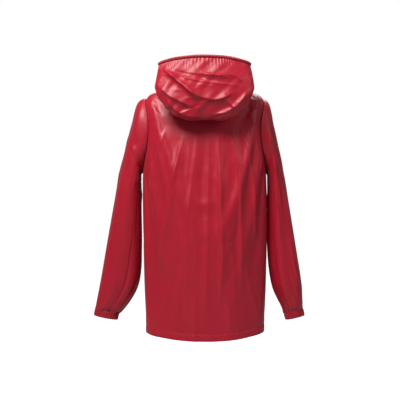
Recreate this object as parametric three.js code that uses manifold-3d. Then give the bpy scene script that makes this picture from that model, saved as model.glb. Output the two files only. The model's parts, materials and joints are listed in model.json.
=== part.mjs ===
// A hooded waterproof jacket with a front zip, hanging as it does when it is worn.
// Millimetres, +Z up. The origin is where a hook bears on the hanger loop at the back of the neck.
// The wearer faces -Y, so +X is the wearer's left.

import * as THREE from 'three';
import Module from 'manifold-3d';
import { mergeGeometries, mergeVertices } from 'three/addons/utils/BufferGeometryUtils.js';
import { ParametricGeometry } from 'three/addons/geometries/ParametricGeometry.js';

const wasm = await Module();
wasm.setup();

// Cloth and clearances
const GAP = 0.3; // between pieces that touch
const FAR = 999; // past the jacket in every direction
const CLOTH = 1.6; // wall of a cloth panel with its seam allowances
const TRIM = 0.8; // wall of a tape, a label or a strap

// Body
const NECK_HALF_WIDTH = 80;
const NECK_BACK_Y = 8; // the back of the neck seam, behind the hanger loop
const NECK_DEPTH = 158; // neck seam, back to front
const NECK_SIDE_Z = 8;
const NECK_FRONT_DROP = 75;
const SHOULDER_HALF_WIDTH = 179;
const SHOULDER_DROP = 36;
const BACK_LENGTH = 713; // centre back, neck seam to hem
const FRONT_HEM_RISE = 13; // the front hem is this much higher than the back one
const SIDE_HEM_RISE = 25;
const HEM_HALF_WIDTH = 168;
const BACK_REACH = 50; // how far the back stands behind the neck seam
const FRONT_SLOPE = 0.075; // the centre front leans out this much for each unit down
const BODY_SQUARENESS = 2.4; // 2 is an ellipse
const HEM_HEIGHT = 22;
const HEM_WALL = 3.2;

// Sleeves
const ARMHOLE_HEIGHT = 196;
const ARMHOLE_HALF_DEPTH = 62;
const ARMHOLE_INSET = 39; // the sleeve head starts this far inside the shoulder
const SLEEVE_LENGTH = 607; // shoulder to the top of the cuff
const SLEEVE_Y = -57;
const SLEEVE_FORWARD = 22; // the cuff hangs this far ahead of the shoulder
const ELBOW_DROP = 294; // from the shoulder to the middle of the elbow
const ELBOW_HALF_HEIGHT = 49;
const CUFF_HEIGHT = 19;
const CUFF_CHANNEL = 3.2; // room for the elastic between the two layers of the cuff
const CUFF_WALL = 1.2;
const CUFF_FACETS = 16;

// Hood, lying back
const HOOD_HALF_WIDTH = 138;
const HOOD_BOTTOM = -96;
const HOOD_TOP = 80;
const HOOD_BACK_Y = 100;
const HOOD_GUSSET = 84; // width of the strip between the two side panels
const RIM_RADIUS = 4.4;
const RIM_BORE = 2.9;
const ELASTIC_RADIUS = 2.3;

// Collar and neck
const CHIN_HEIGHT = 70;
const COLLAR_SIDE_HEIGHT = 44;
const COLLAR_BACK_HEIGHT = 15;
const LOOP_HALF_SPAN = 24;
const LOOP_RISE = 14;
const STRAP_WIDTH = 5;

// Front fold, where each front opens
const FOLD_TOP_X = 66;
const FOLD_HEM_X = 108;

// Zips
const ZIP_SLOT = 6; // half the width between the two front edges
const TOOTH_PITCH = 20;
const TOOTH_HEIGHT = 13;
const TOOTH_DEPTH = 2;
const TOOTH_REACH = 0.8; // tooth tip to the centre line
const TOOTH_ROOT = 2;
const COIL_EDGE = 3.2;
const TAPE_WIDTH = 12;
const SLIDER_LENGTH = 16;
const SLIDER_WALL = 1.4;
const POCKET_LENGTH = 150;
const POCKET_X = 72;
const POCKET_MIDDLE = -545;
const FRONT_BAG_EDGE = 30; // the pocket bag's inner edge, clear of the storm guard
const BAG_DEPTH = 12;

const RED = '#b4233a';
const PALE_RED = '#c43f4c';
const DARK_RED = '#8a1226';
const BLACK = '#1d1a1c';
const METAL = '#8d8f93';

const jacket = new THREE.Group();

// ---------------------------------------------------------------- solids

// A closed geometry as a solid: shared corners merged, slivers dropped, faces turned outwards.
function solid(geometry) {
  const bare = geometry.clone();
  bare.deleteAttribute('normal');
  bare.deleteAttribute('uv');
  const merged = mergeVertices(bare, 1e-3);
  const index = merged.index.array;
  const corners = [];
  for (let i = 0; i < index.length; i += 3) {
    const [a, b, c] = index.slice(i, i + 3);
    if (a !== b && b !== c && c !== a) corners.push(a, b, c);
  }
  const vertProperties = new Float32Array(merged.attributes.position.array);
  const build = (triVerts) =>
    new wasm.Manifold(new wasm.Mesh({ numProp: 3, vertProperties, triVerts: new Uint32Array(triVerts) }));
  const made = build(corners);
  return made.volume() > 0 ? made : build(corners.toReversed());
}

function geometryOf(made) {
  const mesh = made.getMesh();
  const geometry = new THREE.BufferGeometry();
  geometry.setAttribute('position', new THREE.BufferAttribute(mesh.vertProperties, mesh.numProp));
  geometry.setIndex(new THREE.BufferAttribute(mesh.triVerts, 1));
  geometry.computeVertexNormals();
  return geometry;
}

// Adds one named piece, from a geometry or a solid.
function piece(name, shape, color, roughness = 0.45, metalness = 0) {
  const geometry = shape.isBufferGeometry ? shape : geometryOf(shape);
  const mesh = new THREE.Mesh(geometry, new THREE.MeshStandardMaterial({ color, roughness, metalness }));
  mesh.name = name;
  jacket.add(mesh);
  return mesh;
}

function box(low, high) {
  const size = new THREE.Vector3().subVectors(high, low);
  const middle = new THREE.Vector3().addVectors(low, high).multiplyScalar(0.5);
  return new THREE.BoxGeometry(size.x, size.y, size.z).translate(middle.x, middle.y, middle.z);
}

const mix = THREE.MathUtils.lerp;
const vec = (x, y, z) => new THREE.Vector3(x, y, z);

// The outward normal of a surface, from points a little way either side.
function normalOf(point, u, v) {
  const step = 1e-3;
  const at = THREE.MathUtils.clamp(v, step, 1 - step);
  const across = point(u + step, at).sub(point(u - step, at));
  const down = point(u, at + step).sub(point(u, at - step));
  return across.cross(down).normalize();
}

// The same surface moved along its normal.
function offset(point, distance) {
  return (u, v) => point(u, v).addScaledVector(normalOf(point, u, v), distance);
}

function patch(point, across, down) {
  return new ParametricGeometry((u, v, target) => target.copy(point(u, v)), across, down);
}

// A closed sheet whose outer face is point(u, v), for u and v from 0 to 1, and whose inner face lies
// `wall` behind it. A sheet that wraps is a tube and has no edges along v.
function sheet(point, wall, across, down, wraps = false) {
  const inner = offset(point, -wall);
  const layer = (u, v, w) => point(u, v).lerp(inner(u, v), w);
  const faces = [
    patch((a, b) => layer(a, b, 0), across, down),
    patch((a, b) => layer(b, a, 1), down, across),
    patch((a, b) => layer(b, 0, a), 1, across),
    patch((a, b) => layer(a, 1, b), across, 1),
  ];
  if (!wraps) {
    faces.push(patch((a, b) => layer(0, a, b), down, 1));
    faces.push(patch((a, b) => layer(1, b, a), 1, down));
  }
  return solid(mergeGeometries(faces));
}

// Everything inside a tube-like surface, closed by a fan at each end.
function filled(point, across, down) {
  const centre = (v) => {
    const sum = vec(0, 0, 0);
    for (let i = 0; i < across; i++) sum.add(point(i / across, v));
    return sum.divideScalar(across);
  };
  const top = centre(0);
  const bottom = centre(1);
  return solid(
    mergeGeometries([
      patch(point, across, down),
      patch((a, b) => point(b, 0).lerp(top, a), 1, across),
      patch((a, b) => point(a, 1).lerp(bottom, b), across, 1),
    ]),
  );
}

// A section, as a closed list of [out, along] corners, carried round a ring. place(angle, out, along)
// gives the point at that angle.
function ring(place, section, sides) {
  const point = (u, v) => {
    const at = v * section.length;
    const from = section[Math.floor(at + 1e-6) % section.length];
    return place(u * 2 * Math.PI, from[0], from[1]);
  };
  return solid(patch(point, sides, section.length));
}

// The part of a surface between two angles and two heights, as a function of u and v from 0 to 1.
function region(surface, fromAngle, toAngle, fromV = 0, toV = 1) {
  return (u, v) => surface(mix(fromAngle, toAngle, u), mix(fromV, toV, v));
}

// ---------------------------------------------------------------- body surface

// A surface through three profiles, each a list of [out, height]: at the side, the back and the front.
// Angle 0 is the back, a quarter turn is the wearer's left, and v runs along the profiles.
function profiled(sidePoints, backPoints, frontPoints, squareness) {
  const curve = (points) => new THREE.CatmullRomCurve3(points.map(([out, z]) => vec(out, z, 0)));
  const side = curve(sidePoints);
  const back = curve(backPoints);
  const front = curve(frontPoints);
  const power = 2 / squareness;
  return (angle, v) => {
    const t = THREE.MathUtils.clamp(v, 0, 1);
    const s = side.getPoint(t);
    const b = back.getPoint(t);
    const f = front.getPoint(t);
    const across = Math.sign(Math.sin(angle)) * Math.abs(Math.sin(angle)) ** power;
    const along = Math.sign(Math.cos(angle)) * Math.abs(Math.cos(angle)) ** power;
    const end = along > 0 ? b : f;
    return vec(
      s.x * across,
      mix((b.x + f.x) / 2, b.x, along),
      mix(s.y, end.y, along * along),
    );
  };
}

const frontY = (z) => NECK_BACK_Y - NECK_DEPTH + FRONT_SLOPE * (z + NECK_FRONT_DROP);
const onFrontLine = (z) => [frontY(z), z];
const BACK_Y = NECK_BACK_Y + BACK_REACH;
const FRONT_HEM_Z = FRONT_HEM_RISE - BACK_LENGTH;
const SIDE_HEM_Z = SIDE_HEM_RISE - BACK_LENGTH;
const SHOULDER_RUN = SHOULDER_HALF_WIDTH - NECK_HALF_WIDTH;

const bodySurface = profiled(
  [
    [NECK_HALF_WIDTH, NECK_SIDE_Z],
    [NECK_HALF_WIDTH + SHOULDER_RUN * 0.47, -0.05 * SHOULDER_DROP],
    [NECK_HALF_WIDTH + SHOULDER_RUN * 0.82, -0.42 * SHOULDER_DROP],
    [SHOULDER_HALF_WIDTH - 4, -SHOULDER_DROP],
    [SHOULDER_HALF_WIDTH - 1, -SHOULDER_DROP - 55],
    [SHOULDER_HALF_WIDTH, -SHOULDER_DROP - ARMHOLE_HEIGHT],
    [mix(SHOULDER_HALF_WIDTH, HEM_HALF_WIDTH, 0.35), mix(-SHOULDER_DROP - ARMHOLE_HEIGHT, SIDE_HEM_Z, 0.5)],
    [HEM_HALF_WIDTH, SIDE_HEM_Z],
  ],
  [
    [NECK_BACK_Y, 0],
    [NECK_BACK_Y + BACK_REACH * 0.36, -22],
    [NECK_BACK_Y + BACK_REACH * 0.62, -48],
    [NECK_BACK_Y + BACK_REACH * 0.8, -85],
    [NECK_BACK_Y + BACK_REACH * 0.92, -135],
    [BACK_Y, -SHOULDER_DROP - ARMHOLE_HEIGHT - 8],
    [BACK_Y, mix(-SHOULDER_DROP - ARMHOLE_HEIGHT, -BACK_LENGTH, 0.5)],
    [BACK_Y, -BACK_LENGTH],
  ],
  [0, 17, 37, 60, 90, 190].map((drop) => onFrontLine(-NECK_FRONT_DROP - drop)).concat([
    onFrontLine(mix(-NECK_FRONT_DROP - 190, FRONT_HEM_Z, 0.5)),
    onFrontLine(FRONT_HEM_Z),
  ]),
  BODY_SQUARENESS,
);

// The hem bands take the last stretch of the body surface.
const PROFILE_SPANS = 7;
const SPANS_BELOW_ARMHOLE = 2;
const LENGTH_BELOW_ARMHOLE = BACK_LENGTH - SHOULDER_DROP - ARMHOLE_HEIGHT;
const V_PER_LENGTH = SPANS_BELOW_ARMHOLE / PROFILE_SPANS / LENGTH_BELOW_ARMHOLE;
const HEM_START = 1 - HEM_HEIGHT * V_PER_LENGTH;
const HEM_GAP = GAP * V_PER_LENGTH * 2;
const QUARTER_FACETS = 8; // facets in a quarter of the way round the body
const BODY_FACETS = 12; // facets down the body
const SEAM = 0.0015; // half the gap at the side and shoulder seams, in radians
const QUARTER = Math.PI / 2;

// ---------------------------------------------------------------- sleeves

// Each edge point is [out beyond the side seam, share of the sleeve's length]: the outer edge is
// measured from the shoulder and the inner edge from the underarm.
const SLEEVES = {
  left: {
    turn: 1,
    outer: [
      [7, 0], [33, 0.115], [53, 0.247], [73, 0.387],
      [105, 0.675], [125, 0.865], [139, 0.985], [140, 1],
    ],
    inner: [[-6, 0], [5, 0.03], [6, 0.1], [6, 0.222], [6, 0.557], [17, 0.813], [60, 0.976], [73, 1]],
  },
  right: {
    turn: -1,
    outer: [[2, 0], [23, 0.115], [41, 0.247], [57, 0.387], [86, 0.675], [105, 0.875], [109, 0.985], [109, 1]],
    inner: [[-6, 0], [4, 0.03], [5, 0.1], [5, 0.222], [5, 0.557], [20, 0.813], [50, 0.965], [55, 1]],
  },
};
const SLEEVE_HALF_DEPTHS = [63, 62, 60, 57, 47, 42, 32, 28];
const SHOULDER_Z = -30;
const UNDERARM_Z = SHOULDER_Z - ARMHOLE_HEIGHT - 6;
const CUFF_TILT = 13; // the inner side of the cuff hangs this much lower than the outer side

// The outer face of one sleeve: angle 0 is its outer edge, and v runs from the armhole to the cuff.
function sleeveSurface({ turn, outer, inner }) {
  const cuffTop = SHOULDER_Z - SLEEVE_LENGTH;
  const innerLength = UNDERARM_Z - (cuffTop - CUFF_TILT);
  const headX = SHOULDER_HALF_WIDTH - ARMHOLE_INSET;
  const outerEdge = outer.map(([out, share]) =>
    vec(SHOULDER_HALF_WIDTH + out, 0, SHOULDER_Z - share * SLEEVE_LENGTH));
  const innerEdge = inner.map(([out, share]) =>
    vec(SHOULDER_HALF_WIDTH + out, 0, UNDERARM_Z - share * innerLength));
  outerEdge.unshift(vec(headX, 0, SHOULDER_Z + 9));
  innerEdge.unshift(vec(headX, 0, UNDERARM_Z + 7));
  const depths = [ARMHOLE_HALF_DEPTH, ...SLEEVE_HALF_DEPTHS].map((depth) => vec(depth, 0, 0));
  const outerCurve = new THREE.CatmullRomCurve3(outerEdge);
  const innerCurve = new THREE.CatmullRomCurve3(innerEdge);
  const depthCurve = new THREE.CatmullRomCurve3(depths);
  return (angle, v) => {
    const t = THREE.MathUtils.clamp(v, 0, 1);
    const o = outerCurve.getPoint(t);
    const i = innerCurve.getPoint(t);
    const middle = o.clone().add(i).multiplyScalar(0.5);
    const half = o.sub(i).multiplyScalar(0.5 * Math.cos(angle));
    const y = SLEEVE_Y - SLEEVE_FORWARD * t - turn * Math.sin(angle) * depthCurve.getPoint(t).x;
    return vec(turn * (middle.x + half.x), y, middle.z + half.z);
  };
}


const cut = (made, ...tools) => tools.reduce((left, tool) => left.subtract(tool), made);
const around = (surface, fromV, toV) => region(surface, 0, 2 * Math.PI, fromV, toV);

const bodyKeepOut = filled(
  offset(around(bodySurface, 0, HEM_START - HEM_GAP), GAP),
  4 * QUARTER_FACETS,
  BODY_FACETS,
);
const armholes = [];

for (const [side, plan] of Object.entries(SLEEVES)) {
  const surface = sleeveSurface(plan);
  const tube = sheet(around(surface, 0, 1), CLOTH, 14, 12, true).subtract(bodyKeepOut);
  armholes.push(filled(offset(around(surface, 0, 0.4), -CLOTH), 20, 5));

  const elbowZ = SHOULDER_Z - ELBOW_DROP;
  const elbowTop = elbowZ + ELBOW_HALF_HEIGHT;
  const elbowBottom = elbowZ - ELBOW_HALF_HEIGHT;
  const slab = (low, high) => solid(box(vec(-FAR, -FAR, low), vec(FAR, FAR, high)));
  piece(`${side}_upper_sleeve`, tube.intersect(slab(elbowTop, FAR)), PALE_RED);
  piece(`${side}_elbow`, tube.intersect(slab(elbowBottom + GAP, elbowTop - GAP)), RED);
  piece(`${side}_lower_sleeve`, tube.intersect(slab(-FAR, elbowBottom)), PALE_RED);

  // The cuff is folded up round its elastic, so its section is a channel that opens upwards.
  const outerEnd = surface(0, 1);
  const innerEnd = surface(Math.PI, 1);
  const middle = outerEnd.clone().add(innerEnd).multiplyScalar(0.5);
  const outward = outerEnd.clone().sub(middle);
  const halfWidth = outward.length();
  const halfDepth = SLEEVE_HALF_DEPTHS.at(-1);
  outward.normalize();
  const down = vec(outward.z * plan.turn, 0, -outward.x * plan.turn);
  const place = (angle, out, along) =>
    middle
      .clone()
      .addScaledVector(outward, Math.cos(angle) * (halfWidth + out))
      .add(vec(0, -plan.turn * Math.sin(angle) * (halfDepth + out), 0))
      .addScaledVector(down, along);
  const inside = CUFF_WALL + CUFF_CHANNEL;
  piece(
    `${side}_cuff`,
    ring(
      place,
      [
        [0, GAP],
        [0, CUFF_HEIGHT],
        [-inside - CUFF_WALL, CUFF_HEIGHT],
        [-inside - CUFF_WALL, GAP],
        [-inside, GAP],
        [-inside, CUFF_HEIGHT - CUFF_WALL],
        [-CUFF_WALL, CUFF_HEIGHT - CUFF_WALL],
        [-CUFF_WALL, GAP],
      ],
      CUFF_FACETS,
    ),
    RED,
  );
  piece(
    `${side}_cuff_elastic`,
    ring(
      place,
      [
        [-CUFF_WALL - 0.5, 2],
        [-CUFF_WALL - 0.5, CUFF_HEIGHT - CUFF_WALL - GAP],
        [-inside + 0.5, CUFF_HEIGHT - CUFF_WALL - GAP],
        [-inside + 0.5, 2],
      ],
      CUFF_FACETS,
    ),
    BLACK,
  );
}

// ---------------------------------------------------------------- body panels

// Everything on the outer side of one front's fold, where the front swings open.
function beyondFold(turn, clearance) {
  const top = vec(FOLD_TOP_X, 0, NECK_SIDE_Z - 38);
  const hem = vec(FOLD_HEM_X, 0, SIDE_HEM_Z);
  const lean = Math.atan2(hem.x - top.x, top.z - hem.z);
  return solid(
    box(vec(clearance, -FAR, -1200), vec(900, FAR, 1200))
      .rotateY(-lean)
      .translate(top.x, 0, top.z)
      .scale(turn, 1, 1),
  );
}

// The height on the body, as v, at which a line down the surface reaches z.
function levelOf(surface, angle, z) {
  let low = 0;
  let high = 1;
  for (let i = 0; i < 40; i++) {
    const middle = (low + high) / 2;
    if (surface(angle, middle).z > z) low = middle;
    else high = middle;
  }
  return low;
}

// The angle at which the front of the body is x out from the centre, at height v.
function angleAt(x, v) {
  const halfWidth = bodySurface(QUARTER, v).x;
  return Math.PI - Math.asin((x / halfWidth) ** (BODY_SQUARENESS / 2));
}

const backRegion = (fromV, toV) => region(bodySurface, SEAM - QUARTER, QUARTER - SEAM, fromV, toV);
const halfFront = (turn, fromV, toV) =>
  turn > 0
    ? region(bodySurface, QUARTER + SEAM, Math.PI, fromV, toV)
    : region(bodySurface, -Math.PI, -QUARTER - SEAM, fromV, toV);

const back = sheet(backRegion(0, HEM_START - HEM_GAP), CLOTH, 2 * QUARTER_FACETS, BODY_FACETS);
piece('back_panel', cut(back, ...armholes), RED);
piece('back_hem_band', sheet(backRegion(HEM_START, 1), HEM_WALL, 2 * QUARTER_FACETS, 1), DARK_RED);

// ---------------------------------------------------------------- collar

// The collar stands up from the neck seam and leans in as the centre front line does.
function collarSurface(angle, v) {
  const seam = bodySurface(angle, 0);
  const along = Math.cos(angle);
  const height = mix(COLLAR_SIDE_HEIGHT, along > 0 ? COLLAR_BACK_HEIGHT : CHIN_HEIGHT, along * along);
  const rise = mix(height, GAP, v);
  const out = CLOTH * (1 - Math.max(0, -along) ** 2) - FRONT_SLOPE * rise;
  return seam.add(vec(Math.sin(angle) * out, along * out, rise));
}

const halfCollar = (turn) =>
  turn > 0
    ? region(collarSurface, SEAM, Math.PI)
    : region(collarSurface, -Math.PI, -SEAM);

// ---------------------------------------------------------------- zips

// Depths behind the outer face of the front, along y.
const TEETH_FRONT = 1.4;
const TEETH_BACK = TEETH_FRONT + TOOTH_DEPTH;
const TAPE_FRONT = CLOTH + 0.8;
const TAPE_BACK = TAPE_FRONT + TRIM;
const PLATE_BACK = TEETH_BACK + GAP + SLIDER_WALL;
const PLATE_FRONT = TEETH_FRONT - GAP - SLIDER_WALL;

// One side of a zip's coil, with its teeth towards the centre line: length along z, depth along y.
function toothedEdge(turn, length) {
  const shape = new THREE.Shape();
  shape.moveTo(COIL_EDGE, 0);
  const start = turn > 0 ? 0 : TOOTH_PITCH / 2;
  shape.lineTo(TOOTH_ROOT, 0);
  for (let z = start + 1; z + TOOTH_HEIGHT < length; z += TOOTH_PITCH) {
    shape.lineTo(TOOTH_ROOT, z);
    shape.lineTo(TOOTH_REACH, z);
    shape.lineTo(TOOTH_REACH, z + TOOTH_HEIGHT);
    shape.lineTo(TOOTH_ROOT, z + TOOTH_HEIGHT);
  }
  shape.lineTo(TOOTH_ROOT, length);
  shape.lineTo(COIL_EDGE, length);
  return solid(
    new THREE.ExtrudeGeometry(shape, { depth: TOOTH_DEPTH, bevelEnabled: false })
      .rotateX(QUARTER)
      .translate(0, TEETH_BACK, 0)
      .scale(turn, 1, 1),
  );
}

const BAIL_RISE = 4.4;
const BAIL_WIDTH = 2.4;
const BAIL_WALL = 1.4;
const PULL_BAR_Z = SLIDER_LENGTH * 0.45;

// A slider runs on both halves of a coil: a plate in front, a plate behind and a thin neck between the
// tooth tips, with a bail that holds the pull. z is 0 at its lower end.
function sliderBody(halfWidth) {
  const plate = (low, high) =>
    solid(box(vec(-halfWidth, low, 0), vec(halfWidth, high, SLIDER_LENGTH)));
  const neck = solid(box(
    vec(GAP - TOOTH_REACH, PLATE_FRONT + 0.5, SLIDER_LENGTH - 7),
    vec(TOOTH_REACH - GAP, PLATE_BACK - 0.5, SLIDER_LENGTH - 1),
  ));
  const low = PULL_BAR_Z - 4.4;
  const high = PULL_BAR_Z + 4.4;
  const bail = solid(box(
    vec(-BAIL_WIDTH / 2, PLATE_FRONT - BAIL_RISE, low),
    vec(BAIL_WIDTH / 2, PLATE_FRONT + 0.5, high),
  )).subtract(solid(box(
    vec(-BAIL_WIDTH, PLATE_FRONT - BAIL_RISE + BAIL_WALL, low + BAIL_WALL),
    vec(BAIL_WIDTH, PLATE_FRONT, high - BAIL_WALL),
  )));
  return plate(PLATE_FRONT, PLATE_FRONT + SLIDER_WALL)
    .add(plate(PLATE_BACK - SLIDER_WALL, PLATE_BACK))
    .add(neck)
    .add(bail);
}

// The pull hangs from a bar under the bail, and its slot goes round the bail's lower leg.
function pullTab(length, width) {
  const bar = 2;
  const shape = new THREE.Shape();
  shape.moveTo(-width / 2, bar / 2);
  shape.lineTo(width / 2, bar / 2);
  shape.lineTo(width / 2, 3 - length);
  shape.lineTo(width / 2 - 1.5, -length);
  shape.lineTo(1.5 - width / 2, -length);
  shape.lineTo(-width / 2, 3 - length);
  const half = BAIL_WIDTH / 2 + 0.4;
  const slot = box(vec(-half, -9, -bar / 2 - 5.4), vec(half, 9, -bar / 2));
  const middle = PLATE_FRONT - (BAIL_RISE - BAIL_WALL) / 2;
  return solid(new THREE.ExtrudeGeometry(shape, { depth: 1, bevelEnabled: false }).rotateX(QUARTER))
    .subtract(solid(slot))
    .translate(0, middle + 0.5, PULL_BAR_Z);
}

// Everything on the zip line is placed from the front hem, with z up the zip and y into the jacket.
const frontZip = new THREE.Group();
frontZip.position.set(0, frontY(FRONT_HEM_Z), FRONT_HEM_Z);
frontZip.rotation.x = -Math.atan(FRONT_SLOPE);
jacket.add(frontZip);

function onZip(name, shape, color, roughness, metalness) {
  frontZip.add(piece(name, shape, color, roughness, metalness));
}

const FRONT_LENGTH = (CHIN_HEIGHT - NECK_FRONT_DROP - FRONT_HEM_Z) * Math.hypot(1, FRONT_SLOPE);
const TEETH_START = 17;
const TEETH_LENGTH = FRONT_LENGTH - TEETH_START - 8;
const TAPE_EDGE = COIL_EDGE + GAP;
const HEM_SLOT = TAPE_EDGE + TAPE_WIDTH + 1;

// The back and sides of the collar stay with the body when a front opens.
const COLLAR_SPLIT_Y = -70;
const behindNeck = solid(box(vec(-FAR, COLLAR_SPLIT_Y, -FAR), vec(FAR, FAR, FAR)));
const frontSlot = (half) => solid(box(vec(-half, -FAR, -FAR), vec(half, -90, FAR)));
const slot = frontSlot(ZIP_SLOT);
const hemSlot = frontSlot(HEM_SLOT);

for (const [side, turn] of [['left', 1], ['right', -1]]) {
  const outside = beyondFold(turn, GAP / 2);
  const notInside = beyondFold(turn, -GAP / 2);

  const half = cut(
    sheet(halfFront(turn, 0, HEM_START - HEM_GAP), CLOTH, QUARTER_FACETS, BODY_FACETS),
    ...armholes,
    slot,
  );
  const hem = sheet(halfFront(turn, HEM_START, 1), HEM_WALL, QUARTER_FACETS, 1).subtract(hemSlot);
  const collar = sheet(halfCollar(turn), CLOTH, 2 * QUARTER_FACETS, 1).subtract(slot);

  // The pocket's zip lies on the front, along a line down its surface.
  const level = levelOf(bodySurface, Math.PI, POCKET_MIDDLE);
  const angle = turn * angleAt(POCKET_X, level);
  const seat = bodySurface(angle, level);
  const outwards = normalOf((u, v) => bodySurface(u * turn, v), angle * turn, level).multiplyScalar(turn);
  const up = bodySurface(angle, level - 0.02).sub(bodySurface(angle, level + 0.02)).normalize();
  const pocket = new THREE.Group();
  pocket.position.copy(seat);
  pocket.quaternion.setFromRotationMatrix(
    new THREE.Matrix4().makeBasis(up.clone().cross(outwards).normalize(), outwards.clone().negate(), up),
  );
  pocket.updateMatrixWorld();
  jacket.add(pocket);
  const mouthHalf = COIL_EDGE + 1.4;
  const mouthBox = box(
    vec(-mouthHalf, -20, -POCKET_LENGTH / 2),
    vec(mouthHalf, 3.2, POCKET_LENGTH / 2),
  ).applyMatrix4(pocket.matrixWorld);

  piece(`${side}_side_panel`, half.intersect(outside), RED);
  piece(`${side}_front_panel`, cut(half, notInside, solid(mouthBox)), RED);
  piece(`${side}_side_hem_band`, hem.intersect(outside), DARK_RED);
  piece(`${side}_front_hem_band`, hem.subtract(notInside), DARK_RED);
  piece(`${side}_collar`, collar.intersect(outside.add(behindNeck)), RED);
  piece(`${side}_chin_panel`, cut(collar, notInside, behindNeck), RED);

  // Front zip: tape, teeth and top stop on each side.
  const tape = box(
    vec(TAPE_EDGE, TAPE_FRONT, 2),
    vec(TAPE_EDGE + TAPE_WIDTH, TAPE_BACK, FRONT_LENGTH - 1),
  ).scale(turn, 1, 1);
  onZip(`${side}_zip_tape`, solid(tape), BLACK, 0.8);
  onZip(`${side}_zip_teeth`, toothedEdge(turn, TEETH_LENGTH).translate(0, 0, TEETH_START), BLACK, 0.5);
  const stop = box(
    vec(TOOTH_REACH, TEETH_FRONT, TEETH_START + TEETH_LENGTH + GAP),
    vec(COIL_EDGE, TEETH_BACK, TEETH_START + TEETH_LENGTH + 4),
  ).scale(turn, 1, 1);
  onZip(`${side}_top_stop`, solid(stop), METAL, 0.3, 1);

  // Pocket: the zip's two halves are joined at their ends, and the bag hangs behind them.
  const zipLength = POCKET_LENGTH - 2;
  const halves = [1, -1].map((way) =>
    toothedEdge(way, zipLength).add(solid(
      box(
        vec(COIL_EDGE - 0.4, TAPE_FRONT + 0.2, -6),
        vec(COIL_EDGE + 7, TAPE_BACK + 0.2, zipLength + 6),
      ).scale(way, 1, 1),
    )));
  const ends = [[-6, 0.5], [zipLength - 0.5, zipLength + 6]].map(([low, high]) =>
    solid(box(vec(-COIL_EDGE, TAPE_FRONT + 0.2, low), vec(COIL_EDGE, TAPE_BACK + 0.2, high))));
  const pocketZip = [...halves, ...ends].reduce((made, next) => made.add(next));
  const zipMesh = piece(`${side}_pocket_zip`, pocketZip.translate(0, 0, -zipLength / 2), BLACK, 0.7);
  pocket.add(zipMesh);
  const sliderZ = zipLength / 2 - SLIDER_LENGTH - 3;
  const slider = piece(`${side}_pocket_slider`, sliderBody(COIL_EDGE + 0.8), METAL, 0.35, 1);
  slider.position.z = sliderZ;
  pocket.add(slider);
  const pull = piece(`${side}_pocket_pull`, pullTab(22, 5), BLACK, 0.6);
  pull.position.z = sliderZ;
  pocket.add(pull);

  const bagRegion = (inset) => {
    const top = levelOf(bodySurface, Math.PI, POCKET_MIDDLE + 84 - inset);
    const bottom = levelOf(bodySurface, Math.PI, POCKET_MIDDLE - 92 + inset);
    const inner = angleAt(FRONT_BAG_EDGE + inset, level);
    const outer = angleAt(POCKET_X + 13 - inset, level);
    return turn > 0
      ? region(bodySurface, outer, inner, top, bottom)
      : region(bodySurface, -inner, -outer, top, bottom);
  };
  const bagMouth = box(
    vec(-mouthHalf - 2.5, 0, -POCKET_LENGTH / 2 + 1),
    vec(mouthHalf + 2.5, 6.5, POCKET_LENGTH / 2 - 1),
  ).applyMatrix4(pocket.matrixWorld);
  const bagFront = TAPE_BACK + 0.2 + GAP + 0.6;
  piece(
    `${side}_pocket_bag`,
    cut(
      sheet(offset(bagRegion(0), -bagFront), BAG_DEPTH, 6, 4),
      sheet(offset(bagRegion(1.5), -bagFront - TRIM), BAG_DEPTH - 2 * TRIM, 6, 4),
      solid(bagMouth),
    ),
    DARK_RED,
  );
}


// The front zip's slider is at the top, and the storm guard lies behind the whole zip on the left.
const sliderZ = TEETH_START + TEETH_LENGTH - SLIDER_LENGTH - 2;
const zipSlider = piece('zip_slider', sliderBody(ZIP_SLOT - 1), METAL, 0.35, 1);
zipSlider.position.z = sliderZ;
frontZip.add(zipSlider);
const zipPull = piece('zip_pull', pullTab(30, 6.5), BLACK, 0.6);
zipPull.position.z = sliderZ;
frontZip.add(zipPull);

// The bottom of the zip: a pin on the right that stands in a box on the left.
const PIN_RADIUS = 0.9;
const PIN_X = -1.2;
const PIN_DEPTH = (TEETH_FRONT + TEETH_BACK) / 2;
const pinShape = (radius, length, z) =>
  new THREE.CylinderGeometry(radius, radius, length, 10).rotateX(QUARTER).translate(PIN_X, PIN_DEPTH, z);
onZip(
  'insertion_pin',
  solid(pinShape(PIN_RADIUS, 13, 9.5)),
  METAL,
  0.3,
  1,
);
const retainer = solid(box(vec(-COIL_EDGE + 0.6, 0.8, 1), vec(COIL_EDGE, 4, 9))).subtract(
  solid(pinShape(PIN_RADIUS + GAP, 20, 12.5)),
);
onZip('retainer_box', retainer, METAL, 0.3, 1);

// The guard's section, across the zip and into the jacket: flat behind the slider, then in to the tape.
const GUARD_DEPTH = PLATE_BACK + 0.5;
const GUARD_OVERLAP = 7; // past the centre line, behind the right teeth
const TAPE_OUTER = TAPE_EDGE + TAPE_WIDTH;
const guardFront = [
  [-GUARD_OVERLAP, GUARD_DEPTH],
  [TAPE_OUTER - 5, GUARD_DEPTH],
  [TAPE_OUTER - 3, TAPE_BACK + GAP],
  [TAPE_OUTER + 2, TAPE_BACK + GAP],
];
const guardBack = guardFront.toReversed().map(([x, y]) => [x, y + TRIM]);
const guard = new THREE.Shape([...guardFront, ...guardBack].map(([x, y]) => new THREE.Vector2(x, y)));
onZip(
  'storm_guard',
  solid(new THREE.ExtrudeGeometry(guard, { depth: FRONT_LENGTH - HEM_HEIGHT - 4, bevelEnabled: false })
    .translate(0, 0, HEM_HEIGHT + 3)),
  DARK_RED,
);

// ---------------------------------------------------------------- neck

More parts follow.
